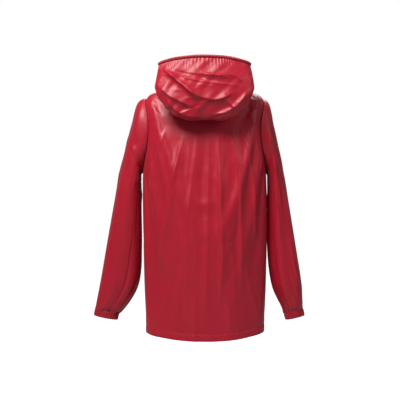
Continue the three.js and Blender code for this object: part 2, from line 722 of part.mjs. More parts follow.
// The binding covers the neck seam inside, between the shoulders.
const bindingSurface = (angle, v) => {
  const seam = bodySurface(angle, 0);
  const inwards = CLOTH + GAP;
  return seam.add(vec(-Math.sin(angle) * inwards, -Math.cos(angle) * inwards, mix(7, -8, v)));
};
piece('neck_binding', sheet(region(bindingSurface, -1.1, 1.1), TRIM, 12, 1), BLACK, 0.8);

const loop = new THREE.Shape();
loop.absellipse(0, -LOOP_RISE, LOOP_HALF_SPAN + TRIM, LOOP_RISE + TRIM, 0, Math.PI);
loop.absellipse(0, -LOOP_RISE, LOOP_HALF_SPAN, LOOP_RISE, Math.PI, 0, true);
piece(
  'hanger_loop',
  solid(new THREE.ExtrudeGeometry(loop, { depth: STRAP_WIDTH, bevelEnabled: false, curveSegments: 12 })
    .rotateX(QUARTER).translate(0, STRAP_WIDTH / 2, 0)),
  BLACK,
  0.8,
);

// A flat blank label inside the back, below the neck, and a care label in the left side seam.
const LABEL_WIDTH = 42;
const LABEL_HEIGHT = 24;
const labelLevel = levelOf(bodySurface, 0, -36);
const labelNormal = normalOf((u, v) => bodySurface(u, v), 0, labelLevel);
const labelDepth = CLOTH + 1.5 + TRIM / 2;
const label = piece('neck_label', new THREE.BoxGeometry(LABEL_WIDTH, TRIM, LABEL_HEIGHT), BLACK, 0.7);
label.position.copy(bodySurface(0, labelLevel)).addScaledVector(labelNormal, -labelDepth);
label.quaternion.setFromUnitVectors(vec(0, 1, 0), labelNormal);

const careLevel = levelOf(bodySurface, QUARTER, SIDE_HEM_Z + 120);
const care = bodySurface(QUARTER, careLevel);
piece(
  'care_label',
  box(
    vec(care.x - CLOTH - 2.4 - TRIM, care.y - 14, care.z - 25),
    vec(care.x - CLOTH - 2.4, care.y + 14, care.z + 25),
  ),
  '#e8e6e2',
  0.8,
);

// ---------------------------------------------------------------- hood

// The hood lies back as a deep cup behind the neck, and its open rim faces up.
const HOOD_FRONT_Y = NECK_BACK_Y + CLOTH - 0.3;
const hoodSurface = profiled(
  [
    [0, HOOD_BOTTOM],
    [HOOD_HALF_WIDTH * 0.36, HOOD_BOTTOM + 2],
    [HOOD_HALF_WIDTH * 0.78, HOOD_BOTTOM + 34],
    [HOOD_HALF_WIDTH, HOOD_BOTTOM + 86],
    [HOOD_HALF_WIDTH - 3, HOOD_TOP - 50],
    [HOOD_HALF_WIDTH - 10, HOOD_TOP - 18],
  ],
  [
    [HOOD_BACK_Y - 30, HOOD_BOTTOM],
    [HOOD_BACK_Y - 16, HOOD_BOTTOM + 4],
    [HOOD_BACK_Y - 3, HOOD_BOTTOM + 41],
    [HOOD_BACK_Y, HOOD_BOTTOM + 91],
    [HOOD_BACK_Y - 6, HOOD_TOP - 36],
    [HOOD_BACK_Y - 16, HOOD_TOP],
  ],
  [
    [HOOD_BACK_Y - 30, HOOD_BOTTOM],
    [HOOD_BACK_Y - 37, HOOD_BOTTOM + 3],
    [BACK_Y - 2, HOOD_BOTTOM + 20],
    [BACK_Y - 14, HOOD_BOTTOM + 47],
    [HOOD_FRONT_Y + 17, -19],
    [HOOD_FRONT_Y, COLLAR_BACK_HEIGHT - 3],
  ],
  2.2,
);
// Facets up the hood. Its inside follows the same rows, from the second one, and runs out past the rim.
const HOOD_ROWS = 7;
const hoodWall = around(hoodSurface, 0, 1);
const hoodLining = offset(hoodWall, CLOTH);
const hoodInside = (u, v) => {
  const row = 1 + v * HOOD_ROWS;
  const lining = hoodLining(u, Math.min(row / HOOD_ROWS, 1));
  return row > HOOD_ROWS + 0.5 ? lining.add(vec(0, 0, 40)) : lining;
};
const hood = filled(hoodWall, 20, HOOD_ROWS).subtract(filled(hoodInside, 20, HOOD_ROWS));
const strip = (half) => solid(box(vec(-half, -FAR, -FAR), vec(half, FAR, FAR)));
const sideSpace = (turn) =>
  solid(box(vec((HOOD_GUSSET + GAP) / 2, -FAR, -FAR), vec(FAR, FAR, FAR)).scale(turn, 1, 1));
piece('hood_centre_panel', hood.intersect(strip((HOOD_GUSSET - GAP) / 2)), PALE_RED);
piece('left_hood_panel', hood.intersect(sideSpace(1)), RED);
piece('right_hood_panel', hood.intersect(sideSpace(-1)), RED);

// The rim is a hem rolled round an elastic, open at the front ends.
const RIM_END = 0.8 * Math.PI;
const rimPoints = Array.from({ length: 25 }, (_, i) => {
  const angle = mix(-RIM_END, RIM_END, i / 24);
  const edge = hoodSurface(angle, 1);
  const rise = edge.clone().sub(hoodSurface(angle, 0.97)).normalize();
  return edge.addScaledVector(rise, RIM_RADIUS + 2 * GAP);
});
const rimPath = new THREE.CatmullRomCurve3(rimPoints);
function along(path, outer, bore, steps) {
  const shape = new THREE.Shape().absarc(0, 0, outer, 0, 2 * Math.PI);
  if (bore) shape.holes.push(new THREE.Path().absarc(0, 0, bore, 0, 2 * Math.PI));
  return solid(new THREE.ExtrudeGeometry(shape, { extrudePath: path, steps, curveSegments: 3 }));
}
piece('hood_rim_channel', along(rimPath, RIM_RADIUS, RIM_BORE, 26), DARK_RED);
piece('hood_elastic', along(rimPath, ELASTIC_RADIUS, 0, 26), BLACK, 0.8);

export default jacket;
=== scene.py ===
"""A hooded rain jacket of thin coated nylon, hanging as it does on a wearer, in metres with +Z up.

The wearer faces -Y, so +X is the wearer's left, and the origin is where a hook bears on the hanger loop.
"""

import json

import bmesh
import bpy
import numpy as np
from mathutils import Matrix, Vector


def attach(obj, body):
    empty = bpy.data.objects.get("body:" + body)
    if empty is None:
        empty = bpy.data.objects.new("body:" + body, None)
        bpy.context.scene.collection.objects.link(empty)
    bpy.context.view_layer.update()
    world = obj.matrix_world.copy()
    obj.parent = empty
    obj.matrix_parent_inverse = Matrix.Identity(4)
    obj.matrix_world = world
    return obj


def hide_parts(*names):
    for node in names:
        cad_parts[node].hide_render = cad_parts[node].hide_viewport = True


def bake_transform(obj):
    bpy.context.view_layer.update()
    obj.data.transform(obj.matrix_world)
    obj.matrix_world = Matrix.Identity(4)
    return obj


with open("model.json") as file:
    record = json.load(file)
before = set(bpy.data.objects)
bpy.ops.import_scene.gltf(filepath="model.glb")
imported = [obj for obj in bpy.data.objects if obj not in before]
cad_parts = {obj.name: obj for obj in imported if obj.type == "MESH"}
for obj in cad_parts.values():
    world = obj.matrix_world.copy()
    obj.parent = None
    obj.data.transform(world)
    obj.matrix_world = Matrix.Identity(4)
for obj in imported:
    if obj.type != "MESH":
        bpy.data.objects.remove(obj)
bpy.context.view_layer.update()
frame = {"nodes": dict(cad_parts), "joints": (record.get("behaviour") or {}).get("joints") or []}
joints = {joint["name"]: joint for joint in frame["joints"]}

# ---------------------------------------------------------------- body
# The body is one tube of thin nylon, coated inside, with seams at the sides and a full-length opening
# in front. It hangs from the neck and shoulders in long soft folds. Its lower edge is turned up twice
# and topstitched.

FRONT_SLOPE = 0.075
NECK_FRONT = (-0.150, -0.075)
BODY_SQUARENESS = 2.4
BODY_SIDE = np.array([
    (0.080, 0.008), (0.1265, -0.0018), (0.1612, -0.0151), (0.175, -0.036),
    (0.178, -0.091), (0.179, -0.232), (0.175, -0.460), (0.168, -0.688),
])
BODY_BACK = np.array([
    (0.008, 0), (0.026, -0.022), (0.039, -0.048), (0.048, -0.085),
    (0.054, -0.135), (0.058, -0.240), (0.058, -0.472), (0.058, -0.713),
])
BODY_FRONT_HEIGHTS = np.array([-0.075, -0.092, -0.112, -0.135, -0.165, -0.265, -0.482, -0.700])
BODY_FRONT = np.column_stack(
    [NECK_FRONT[0] + FRONT_SLOPE * (BODY_FRONT_HEIGHTS - NECK_FRONT[1]), BODY_FRONT_HEIGHTS]
)
BODY_ROWS = 250
BACK_COLUMNS = 96  # in a quarter of the way round
SIDE_COLUMNS = 44
FRONT_COLUMNS = 56
CLOTH = 0.0012
ZIP_HALF = 0.006
FOLD_TOP = np.array([0.066, -0.030])
FOLD_HEM = np.array([0.108, -0.688])
FOLD_BLEND = 0.014
HEM_HEIGHT = 0.022


def curve(points, t):
    """A smooth line through points, at shares t of its number of spans: each span is a cubic whose end
    slopes are the sums of the neighbouring steps, each over the square root of its length, less the step
    across both."""
    p = np.vstack([2 * points[0] - points[1], points, 2 * points[-1] - points[-2]])
    gap = np.linalg.norm(np.diff(p, axis=0), axis=1)[:, None] ** 0.5
    step = np.diff(p, axis=0) / gap
    slope = step[:-1] + step[1:] - (p[2:] - p[:-2]) / (gap[:-1] + gap[1:])
    spans = len(points) - 1
    at = np.clip(t, 0, 1) * spans
    i = np.minimum(at.astype(int), spans - 1)
    s = (at - i)[..., None]
    a, b = p[i + 1], p[i + 2]
    from_a, to_b = slope[i] * gap[i + 1], slope[i + 1] * gap[i + 1]
    return a + s * from_a + s**2 * (3 * (b - a) - 2 * from_a - to_b) + s**3 * (2 * (a - b) + from_a + to_b)


def profiled(side, back, front, squareness, angle, v):
    """A surface through three profiles of (out, height): at each v, a superellipse round the body whose side,
    back and front reach where the profiles do, with heights mixed by the square of how far along y it is."""
    s, b, f = (curve(np.array(points), v) for points in (side, back, front))
    power = 2 / squareness
    across = np.sign(np.sin(angle)) * np.abs(np.sin(angle)) ** power
    along = np.sign(np.cos(angle)) * np.abs(np.cos(angle)) ** power
    end = np.where(along[..., None] > 0, b, f)
    middle = (b[..., 0] + f[..., 0]) / 2
    return np.stack([
        s[..., 0] * across,
        middle + (b[..., 0] - middle) * along,
        s[..., 1] + (end[..., 1] - s[..., 1]) * along**2,
    ], axis=-1)


def body_surface(angle, v):
    """The body at an angle from the centre back and a share v of the way down its profiles."""
    return profiled(BODY_SIDE, BODY_BACK, BODY_FRONT, BODY_SQUARENESS, angle, v)


def evenly(points, count):
    """Shares of a line of points, count of them, with equal lengths between them."""
    length = np.concatenate([[0], np.cumsum(np.linalg.norm(np.diff(points, axis=0), axis=1))])
    return np.interp(np.linspace(0, length[-1], count), length, np.linspace(0, 1, len(points)))


def grid_normals(points, wraps=False):
    """Unit normals of a grid of points: the cross product of its slopes across and down."""
    if wraps:
        wide = np.concatenate([points[:, -3:-1], points, points[:, 1:3]], axis=1)
        across = np.gradient(wide, axis=1)[:, 2:-2]
    else:
        across = np.gradient(points, axis=1)
    normal = np.cross(across, np.gradient(points, axis=0))
    return normal / np.maximum(np.linalg.norm(normal, axis=-1, keepdims=True), 1e-12)


def smooth(low, high, x):
    """A step from 0 at low to 1 at high, with level ends: 3t^2 - 2t^3."""
    t = np.clip((x - low) / (high - low), 0, 1)
    return t * t * (3 - 2 * t)


def fold(x, z, path, rise, width, steep=0.35, fade=0.3):
    """The height of one crease along a line of (x, z) points: rise at the line, falling off exponentially
    over width on its left and over steep times width on its right, and fading out over a share of each
    end."""
    line = curve(np.array(path), np.linspace(0, 1, 40))
    every = np.stack([x, z], axis=-1).reshape(-1, 2)
    around = ((every > line.min(0) - 6 * width) & (every < line.max(0) + 6 * width)).all(1)
    flat = every[around]
    near = ((flat[:, None, :] - line[None]) ** 2).sum(-1).argmin(1)
    tangent = np.gradient(line, axis=0)
    spacing = np.linalg.norm(tangent, axis=1)
    tangent /= spacing[:, None]
    away = flat - line[near]
    slide = (away * tangent[near]).sum(1)
    held = np.clip(slide, -0.7 * spacing[near], 0.7 * spacing[near])
    side = away[:, 0] * tangent[near, 1] - away[:, 1] * tangent[near, 0]
    distance = np.sqrt(side**2 + (slide - held) ** 2 + (0.22 * width) ** 2)
    bias = smooth(-0.25 * width, 0.25 * width, side)
    reach = steep * width + (1 - steep) * width * bias
    share = (near + held / spacing[near]) / (len(line) - 1)
    ends = smooth(0, fade, share) * smooth(0, fade, 1 - share)
    height = np.zeros(len(every))
    height[around] = rise * np.exp(-distance / reach) * ends
    return height.reshape(x.shape)


def ripples(x, z, seed, waves, low, high):
    """Soft waves: the sum of waves sines with wavelengths between low and high, each leaning its own way."""
    draw = np.random.default_rng(seed)
    total = np.zeros_like(x)
    for _ in range(waves):
        length = draw.uniform(low, high)
        lean = draw.uniform(-0.35, 0.35)
        total += np.sin(2 * np.pi * (x + lean * z) / length + draw.uniform(0, 6.28))
    return total / np.sqrt(waves)


def faces_of(rows, columns):
    """The four corners of every face of a grid, numbered row by row."""
    row, column = np.meshgrid(np.arange(rows - 1), np.arange(columns - 1), indexing="ij")
    a = row * columns + column
    return np.stack([a, a + 1, a + columns + 1, a + columns], axis=-1).reshape(-1, 4)


STITCH_PITCH = 0.0034
STITCH_LENGTH = 0.0026
THREAD = 0.00028


def ring_sides(rings):
    """The faces between neighbouring rings of four corners, numbered ring by ring."""
    return [
        [ring * 4 + k, ring * 4 + (k + 1) % 4, ring * 4 + 4 + (k + 1) % 4, ring * 4 + 4 + k]
        for ring in range(rings - 1)
        for k in range(4)
    ]


def stitches(line, facing):
    """A row of stitches along a line of points: each is a four-sided thread of three rings, thin at its ends
    and thick in the middle, lying on the cloth. Returns the corners and the faces of all of them."""
    length = np.concatenate([[0], np.cumsum(np.linalg.norm(np.diff(line, axis=0), axis=1))])
    starts = np.arange(STITCH_PITCH / 2, length[-1] - STITCH_PITCH / 2, STITCH_PITCH)
    at = starts[:, None] + np.array([-0.5, 0, 0.5]) * STITCH_LENGTH
    middle, up = (
        np.stack([np.interp(at, length, values[:, axis]) for axis in range(3)], axis=-1)
        for values in (line, facing)
    )
    way = middle[:, 2:] - middle[:, :1]
    way = way / np.linalg.norm(way, axis=-1, keepdims=True)
    side = np.cross(way, up)
    turn = np.arange(4) * np.pi / 2 + np.pi / 4
    radius = THREAD * np.array([0.35, 1.0, 0.35])[None, :, None, None]
    turn = turn[None, None, :, None]
    ring = np.cos(turn) * side[:, :, None] + np.sin(turn) * up[:, :, None]
    corners = middle[:, :, None] + up[:, :, None] * THREAD * 0.6 + radius * ring
    faces = np.array(ring_sides(3) + [[3, 2, 1, 0], [8, 9, 10, 11]])
    every = (np.arange(len(starts)) * 12)[:, None, None] + faces[None]
    return corners.reshape(-1, 3), every.reshape(-1, 4)


def cloth_piece(name, points, normals, wall=CLOTH, keep=None, uv=None, joined=False, sewn=()):
    """A closed sheet of cloth. The grid of points is its outer face, the same grid moved in along its normals
    by wall is its inner face, and a face stands on every outer edge that has no neighbour to join the two."""
    rows, columns = points.shape[:2]
    outer = faces_of(rows, columns)
    if keep is not None:
        outer = outer[keep.reshape(-1)[outer].all(1)]
    number = rows * columns
    if joined:
        outer = np.where(outer % columns == columns - 1, outer - columns + 1, outer)
    tail = outer.reshape(-1)
    head = np.roll(outer, -1, axis=1).reshape(-1)
    open_edges = ~np.isin(head.astype(np.int64) * number + tail, tail.astype(np.int64) * number + head)
    a, b = tail[open_edges], head[open_edges]
    rim = np.stack([b, a, a + number, b + number], axis=1)
    corners = np.concatenate([outer, outer[:, ::-1] + number, rim])
    places = np.concatenate([points.reshape(-1, 3), (points - wall * normals).reshape(-1, 3)])
    facing = np.concatenate([normals.reshape(-1, 3), -normals.reshape(-1, 3)])
    used, again = np.unique(corners, return_inverse=True)
    corners = again.reshape(-1, 4)
    places, facing = places[used], facing[used]
    flat = None if uv is None else np.concatenate([uv.reshape(-1, 2)] * 2)[used]
    cloth_faces = len(corners)
    for line, up in sewn:
        threads, thread_faces = stitches(line, up)
        corners = np.concatenate([corners, thread_faces + len(places)])
        places = np.concatenate([places, threads])
        facing = np.concatenate([facing, np.zeros_like(threads)])
        flat = np.concatenate([flat, np.zeros((len(threads), 2))])
    mesh = bpy.data.meshes.new(name)
    mesh.from_pydata(places, [], corners)
    if uv is not None:
        layer = mesh.uv_layers.new(name="cloth")
        layer.uv.foreach_set("vector", flat[corners.reshape(-1)].astype(np.float32).ravel())
    mesh.shade_smooth()
    mesh.normals_split_custom_set_from_vertices(facing)
    mesh.polygons.foreach_set("material_index", (np.arange(len(corners)) >= cloth_faces).astype(np.int32))
    made = bpy.data.objects.new(name, mesh)
    bpy.context.scene.collection.objects.link(made)
    return made


# Rows are evenly spaced down the back, and columns run from the right front edge round the back to the left.
fine = np.linspace(0, 1, 2000)
body_rows = evenly(curve(BODY_BACK, fine), BODY_ROWS)
half_width = curve(BODY_SIDE, body_rows)[:, 0]
front_height = curve(BODY_FRONT, body_rows)[:, 1]


def front_angle(out):
    """The angle at which the front is out from the centre line, from the superellipse's equation."""
    return np.pi - np.arcsin(np.clip(out / half_width, 0, 0.93) ** (BODY_SQUARENESS / 2))


fold_share = (front_height - FOLD_TOP[1]) / (FOLD_HEM[1] - FOLD_TOP[1])
fold_line = FOLD_TOP[0] + (FOLD_HEM[0] - FOLD_TOP[0]) * fold_share
split_angle = front_angle(fold_line + FOLD_BLEND + 0.002)
edge_angle = front_angle(np.full(BODY_ROWS, ZIP_HALF))
quarter = np.full(BODY_ROWS, np.pi / 2)
stretches = [
    (np.zeros(BODY_ROWS), quarter, BACK_COLUMNS),
    (quarter, split_angle, SIDE_COLUMNS),
    (split_angle, edge_angle, FRONT_COLUMNS),
]
half_angles = np.concatenate([
    start[:, None] + (end - start)[:, None] * np.linspace(0, 1, count, endpoint=False)
    for start, end, count in stretches
] + [edge_angle[:, None]], axis=1)
body_angles = np.concatenate([-half_angles[:, :0:-1], half_angles], axis=1)
body_plain = body_surface(body_angles, np.broadcast_to(body_rows[:, None], body_angles.shape))

# ---------------------------------------------------------------- sleeve shapes
# Each sleeve is a wide tapering tube of the same nylon, set into a deep armhole, and it narrows to a
# gathered cuff. Its shape comes before the body's folds, because the armhole is cut to it.

SHOULDER_Z = -0.030
UNDERARM_Z = -0.232
SLEEVE_LENGTH = 0.607
INNER_LENGTH = 0.418
SHOULDER_X = 0.179
SLEEVE_Y = -0.057
SLEEVE_FORWARD = 0.022
SLEEVE_HALF_DEPTHS = np.array([62, 63, 62, 60, 57, 47, 42, 32, 28]) / 1000
SLEEVE_COLUMNS = 144
SLEEVE_ROWS = 230
SLEEVES = {
    "left": {
        "turn": 1,
        "outer": [
            (7, 0), (33, .115), (53, .247), (73, .387), (105, .675), (125, .865), (139, .985), (140, 1),
        ],
        "inner": [(-6, 0), (5, .03), (6, .1), (6, .222), (6, .557), (17, .813), (60, .976), (73, 1)],
    },
    "right": {
        "turn": -1,
        "outer": [(2, 0), (23, .115), (41, .247), (57, .387), (86, .675), (105, .875), (109, .985), (109, 1)],
        "inner": [(-6, 0), (4, .03), (5, .1), (5, .222), (5, .557), (20, .813), (50, .965), (55, 1)],
    },
}


def sleeve_surface(plan, angle, v):
    """A sleeve as ovals between its outer edge, at angle 0, and its inner edge: half their spread by the
    cosine of the angle along them, and the half depth by its sine from front to back. The plan's edges are
    pairs of the distance out in millimetres and the share of the way down."""
    outer, inner = (
        np.array([(SHOULDER_X + out / 1000, top - share * length) for out, share in plan[edge]])
        for edge, top, length in (("outer", SHOULDER_Z, SLEEVE_LENGTH), ("inner", UNDERARM_Z, INNER_LENGTH))
    )
    head = SHOULDER_X - 0.039
    o = curve(np.vstack([(head, SHOULDER_Z + 0.009), outer]), v)
    i = curve(np.vstack([(head, UNDERARM_Z + 0.007), inner]), v)
    depth = curve(np.column_stack([SLEEVE_HALF_DEPTHS, 0 * SLEEVE_HALF_DEPTHS]), v)[..., 0]
    place = (o + i) / 2 + (o - i) / 2 * np.cos(angle)[..., None]
    y = SLEEVE_Y - SLEEVE_FORWARD * v - plan["turn"] * np.sin(angle) * depth
    return np.stack([plan["turn"] * place[..., 0], y, place[..., 1]], axis=-1)


def armhole(plan):
    """Where a sleeve meets the body, for each of its columns: the last share v at which the sleeve is still
    inside, judged by the nearest body point's outward normal, and the points of that seam."""
    angle = np.linspace(0, 2 * np.pi, SLEEVE_COLUMNS + 1)
    v = np.linspace(0, 0.22, 80)
    tube = sleeve_surface(plan, *np.meshgrid(angle, v, indexing="ij"))
    outwards = grid_normals(body_plain)
    near = (slice(0, 110, 2), slice(None, None, 2))
    side = plan["turn"] * body_plain[near][..., 0] > 0.1
    target, facing = body_plain[near][side], outwards[near][side]
    flat = tube.reshape(-1, 3)
    gaps = (flat**2).sum(1)[:, None] + (target**2).sum(1)[None] - 2 * flat @ target.T
    nearest = gaps.argmin(1)
    inside = (((flat - target[nearest]) * facing[nearest]).sum(1)).reshape(tube.shape[:2])
    last = len(v) - 1 - (inside[:, ::-1] < 0).argmax(1)
    last = np.minimum(last, len(v) - 2)
    rows = np.arange(len(angle))
    share = inside[rows, last] / (inside[rows, last] - inside[rows, last + 1])
    seam_v = v[last] + share * (v[1] - v[0])
    seam_v = np.convolve(np.concatenate([seam_v[-6:-1], seam_v, seam_v[1:6]]), np.full(11, 1 / 11), "valid")
    return angle, seam_v, sleeve_surface(plan, angle, seam_v)


seams = {side: armhole(plan) for side, plan in SLEEVES.items()}


def in_armhole(points, seam):
    """How far inside an armhole points are, seen from the side: the seam's radius about its own middle, at
    the point's bearing, less the point's radius. Points on the other side of the body are far outside."""
    middle = seam.mean(0)
    bearing = np.arctan2(seam[:-1, 2] - middle[2], seam[:-1, 1] - middle[1])
    order = np.argsort(bearing)
    radius = np.hypot(seam[:-1, 1] - middle[1], seam[:-1, 2] - middle[2])[order]
    at = np.arctan2(points[..., 2] - middle[2], points[..., 1] - middle[1])
    edge = np.interp(at, bearing[order], radius, period=2 * np.pi)
    depth = edge - np.hypot(points[..., 1] - middle[1], points[..., 2] - middle[2])
    return np.where(points[..., 0] * np.sign(middle[0]) > 0.1, depth, -1)


# ---------------------------------------------------------------- folds of the body
# The cloth of the body falls in long creases from the neck and the shoulders, with short ones between
# them. It lies still at the neck, the zips, the armholes and the pockets, and the hem's stitching puckers it.

BACK_FOLDS = [
    ([(0.105, -0.098), (0.128, -0.160), (0.150, -0.265), (0.155, -0.330)], 0.012, 0.016),
    ([(0.056, -0.112), (0.085, -0.230), (0.118, -0.400), (0.128, -0.560)], 0.014, 0.018),
    ([(0.020, -0.105), (0.036, -0.250), (0.056, -0.420), (0.062, -0.640)], 0.010, 0.018),
    ([(-0.010, -0.105), (-0.006, -0.300), (-0.002, -0.500), (0.006, -0.700)], 0.008, 0.014),
    ([(-0.036, -0.105), (-0.040, -0.280), (-0.044, -0.460), (-0.040, -0.650)], 0.013, 0.014),
    ([(-0.074, -0.105), (-0.092, -0.230), (-0.100, -0.400), (-0.100, -0.600)], 0.014, 0.017),
    ([(-0.118, -0.060), (-0.150, -0.120), (-0.160, -0.190), (-0.146, -0.280)], 0.010, 0.014),
    ([(-0.100, -0.098), (-0.122, -0.180), (-0.138, -0.320), (-0.140, -0.470)], 0.010, 0.016),
]
SMALL_FOLDS = 44
SLACK = 0.05  # how much larger the cloth is cut than its place
SETTLING_FRAMES = 22
FARTHEST_MOVE = 0.012


def small_folds(x, z, seed, count, reach, top, bottom, spread):
    """Short creases that fan out down the cloth: each starts at a drawn place across reach, leans away from
    the middle by spread, and has its own length, height and width."""
    draw = np.random.default_rng(seed)
    total = np.zeros_like(x)
    for _ in range(count):
        start_x = draw.uniform(-reach, reach)
        start_z = draw.uniform(bottom + 0.1, top)
        length = draw.uniform(0.07, 0.26)
        lean = spread * start_x / reach + draw.uniform(-0.10, 0.10)
        line = [
            (start_x + lean * length * t + draw.uniform(-0.003, 0.003), start_z - length * t)
            for t in (0, 0.33, 0.67, 1)
        ]
        rise = draw.uniform(-0.0035, 0.0045)
        width = draw.uniform(0.005, 0.011)
        total += fold(x, z, line, rise, width, draw.uniform(0.25, 0.9))
    return total


def body_folds(points):
    """How far the cloth of the body stands out from its plain shape: drawn folds and small ones on the back
    and the front, and soft waves which deepen towards the hem."""
    x, y, z = np.moveaxis(points, -1, 0)
    back = smooth(-0.06, 0.02, y)
    height = back * sum(fold(x, z, *drawn) for drawn in BACK_FOLDS)
    height = height + back * small_folds(x, z, 8, SMALL_FOLDS, 0.16, -0.11, -0.70, 0.22)
    height = height + (1 - back) * small_folds(x, z, 9, SMALL_FOLDS, 0.16, -0.11, -0.70, 0.15)
    down = smooth(-0.08, -0.45, z)
    height = height + 0.0012 * (0.3 + down) * ripples(x, 0.25 * z, 3, 7, 0.045, 0.110)
    return height


def settle(points, hold, growth, frames, cap):
    """How a grid of cloth moves when it is let hang. It is cut larger than its place by growth, held to it by
    springs as strong as hold says, and left to buckle under its own weight. No move passes cap."""
    faces = faces_of(*points.shape[:2])
    mesh = bpy.data.meshes.new("settling")
    mesh.from_pydata(points.reshape(-1, 3), [], faces)
    cloth = bpy.data.objects.new("settling", mesh)
    bpy.context.scene.collection.objects.link(cloth)
    group = cloth.vertex_groups.new(name="held")
    levels = np.round(hold.reshape(-1) * 20).astype(int)
    for level in np.unique(levels):
        group.add(np.flatnonzero(levels == level).tolist(), level / 20, "REPLACE")
    modifier = cloth.modifiers.new("hang", "CLOTH")
    settings = modifier.settings
    settings.quality = 4
    settings.mass = 0.06
    settings.tension_stiffness = settings.compression_stiffness = 18
    settings.shear_stiffness = 6
    settings.bending_stiffness = 0.06
    settings.air_damping = 2
    settings.vertex_group_mass = "held"
    settings.pin_stiffness = 1.0
    settings.shrink_min = -growth
    modifier.point_cache.frame_end = frames
    scene = bpy.context.scene
    for frame_number in range(1, frames + 1):
        scene.frame_set(frame_number)
    settled = cloth.evaluated_get(bpy.context.evaluated_depsgraph_get()).data
    places = np.empty(len(settled.vertices) * 3, np.float32)
    settled.vertices.foreach_get("co", places)
    scene.frame_set(1)
    bpy.data.objects.remove(cloth)
    bpy.data.meshes.remove(mesh)
    move = places.reshape(points.shape) - points
    size = np.linalg.norm(move, axis=-1, keepdims=True)
    return move * np.tanh(size / cap) * cap / np.maximum(size, 1e-9)


def refined(coarse, rows, columns):
    """A coarse grid of values brought to rows by columns, by straight lines between them along each way."""
    tall = np.linspace(0, coarse.shape[0] - 1, rows)
    wide = np.linspace(0, coarse.shape[1] - 1, columns)
    i = np.minimum(tall.astype(int), coarse.shape[0] - 2)
    j = np.minimum(wide.astype(int), coarse.shape[1] - 2)
    s, t = (tall - i)[:, None, None], (wide - j)[None, :, None]
    top = coarse[i][:, j] * (1 - t) + coarse[i][:, j + 1] * t
    low = coarse[i + 1][:, j] * (1 - t) + coarse[i + 1][:, j + 1] * t
    return top * (1 - s) + low * s


def softened(values, times):
    """Values on a grid, each replaced by the mean of its four neighbours and itself twice, over and over."""
    for _ in range(times):
        wide = np.pad(values, ((1, 1), (1, 1), (0, 0)), mode="edge")
        upright = wide[:-2, 1:-1] + wide[2:, 1:-1]
        level = wide[1:-1, :-2] + wide[1:-1, 2:]
        values = (wide[1:-1, 1:-1] * 2 + upright + level) / 6
    return values


def zip_frame(side):
    """A pocket zip's own axes, from its joints and its solid: its middle on the cloth, and unit vectors
    across it, into the jacket and up it. Also half its length."""
    up = np.array(joints[f"{side}_pocket_slide"]["axis"])
    across = np.array(joints[f"{side}_pocket_pull_swing"]["axis"])
    inward = np.cross(up, across)
    inward *= np.sign(inward[1])
    solid = np.array([v.co for v in frame["nodes"][f"{side}_pocket_zip"].data.vertices])
    spans = [solid @ axis for axis in (across, inward, up)]
    middle = (
        (spans[0].min() + spans[0].max()) / 2 * across
        + (spans[1].min() - 0.0014) * inward
        + (spans[2].min() + spans[2].max()) / 2 * up
    )
    return middle, across, inward, up, (spans[2].max() - spans[2].min()) / 2


POCKET_MOUTH = (0.0046, 0.075)  # half its width and half its length
pockets = {side: zip_frame(side) for side in ("left", "right")}

points = body_plain
normals = grid_normals(points)
raised = body_folds(points)
calm = smooth(0, 0.035, np.abs(body_rows)[:, None] * 0.7)
for middle, across, inward, up, half in pockets.values():
    beside = np.hypot((points - middle) @ across, np.clip(np.abs((points - middle) @ up) - half, 0, None))
    calm = calm * np.where(points[..., 1] < -0.05, smooth(0.014, 0.045, beside), 1)
clear = calm * smooth(0.012, 0.05, np.abs(points[..., 0]) + 0.2 * (points[..., 1] > -0.05))
for side, (angle, seam_v, seam) in seams.items():
    clear = clear * smooth(0.0, 0.045, -in_armhole(points, seam) + 0.004)
hem_line = curve(BODY_BACK, body_rows)[:, 1][:, None] - BODY_BACK[-1, 1] - HEM_HEIGHT
puckers = 0.0005 * ripples(body_angles * 0.1, 0 * body_angles, 15, 8, 0.005, 0.012)
hem = (puckers - 0.0012) * np.exp(-((hem_line / 0.0035) ** 2)) + 0.0004 * smooth(0.002, -0.002, hem_line)
raised = raised * clear + hem
for side, (angle, seam_v, seam) in seams.items():
    raised = raised - 0.0022 * np.exp(-((in_armhole(points, seam) / 0.006) ** 2))
body = points + raised[..., None] * normals
coarse = (slice(0, None, 2), slice(0, None, 2))
held = 1 - 0.985 * clear[coarse]
held[0] = 1
moves = settle(body[coarse], held, SLACK, SETTLING_FRAMES, FARTHEST_MOVE)
body = body + refined(softened(moves, 2), *body.shape[:2]) * smooth(0, 0.5, clear)[..., None]
body_normals = grid_normals(body)

keep = np.ones(body.shape[:2], bool)
for middle, across, inward, up, half in pockets.values():
    beside = np.abs((body - middle) @ across) > POCKET_MOUTH[0] + 0.0016
    beyond = np.abs((body - middle) @ up) > POCKET_MOUTH[1]
    keep &= beside | beyond | (body[..., 1] > -0.1)
for side, (angle, seam_v, seam) in seams.items():
    keep &= in_armhole(body_plain, seam) < 0.005


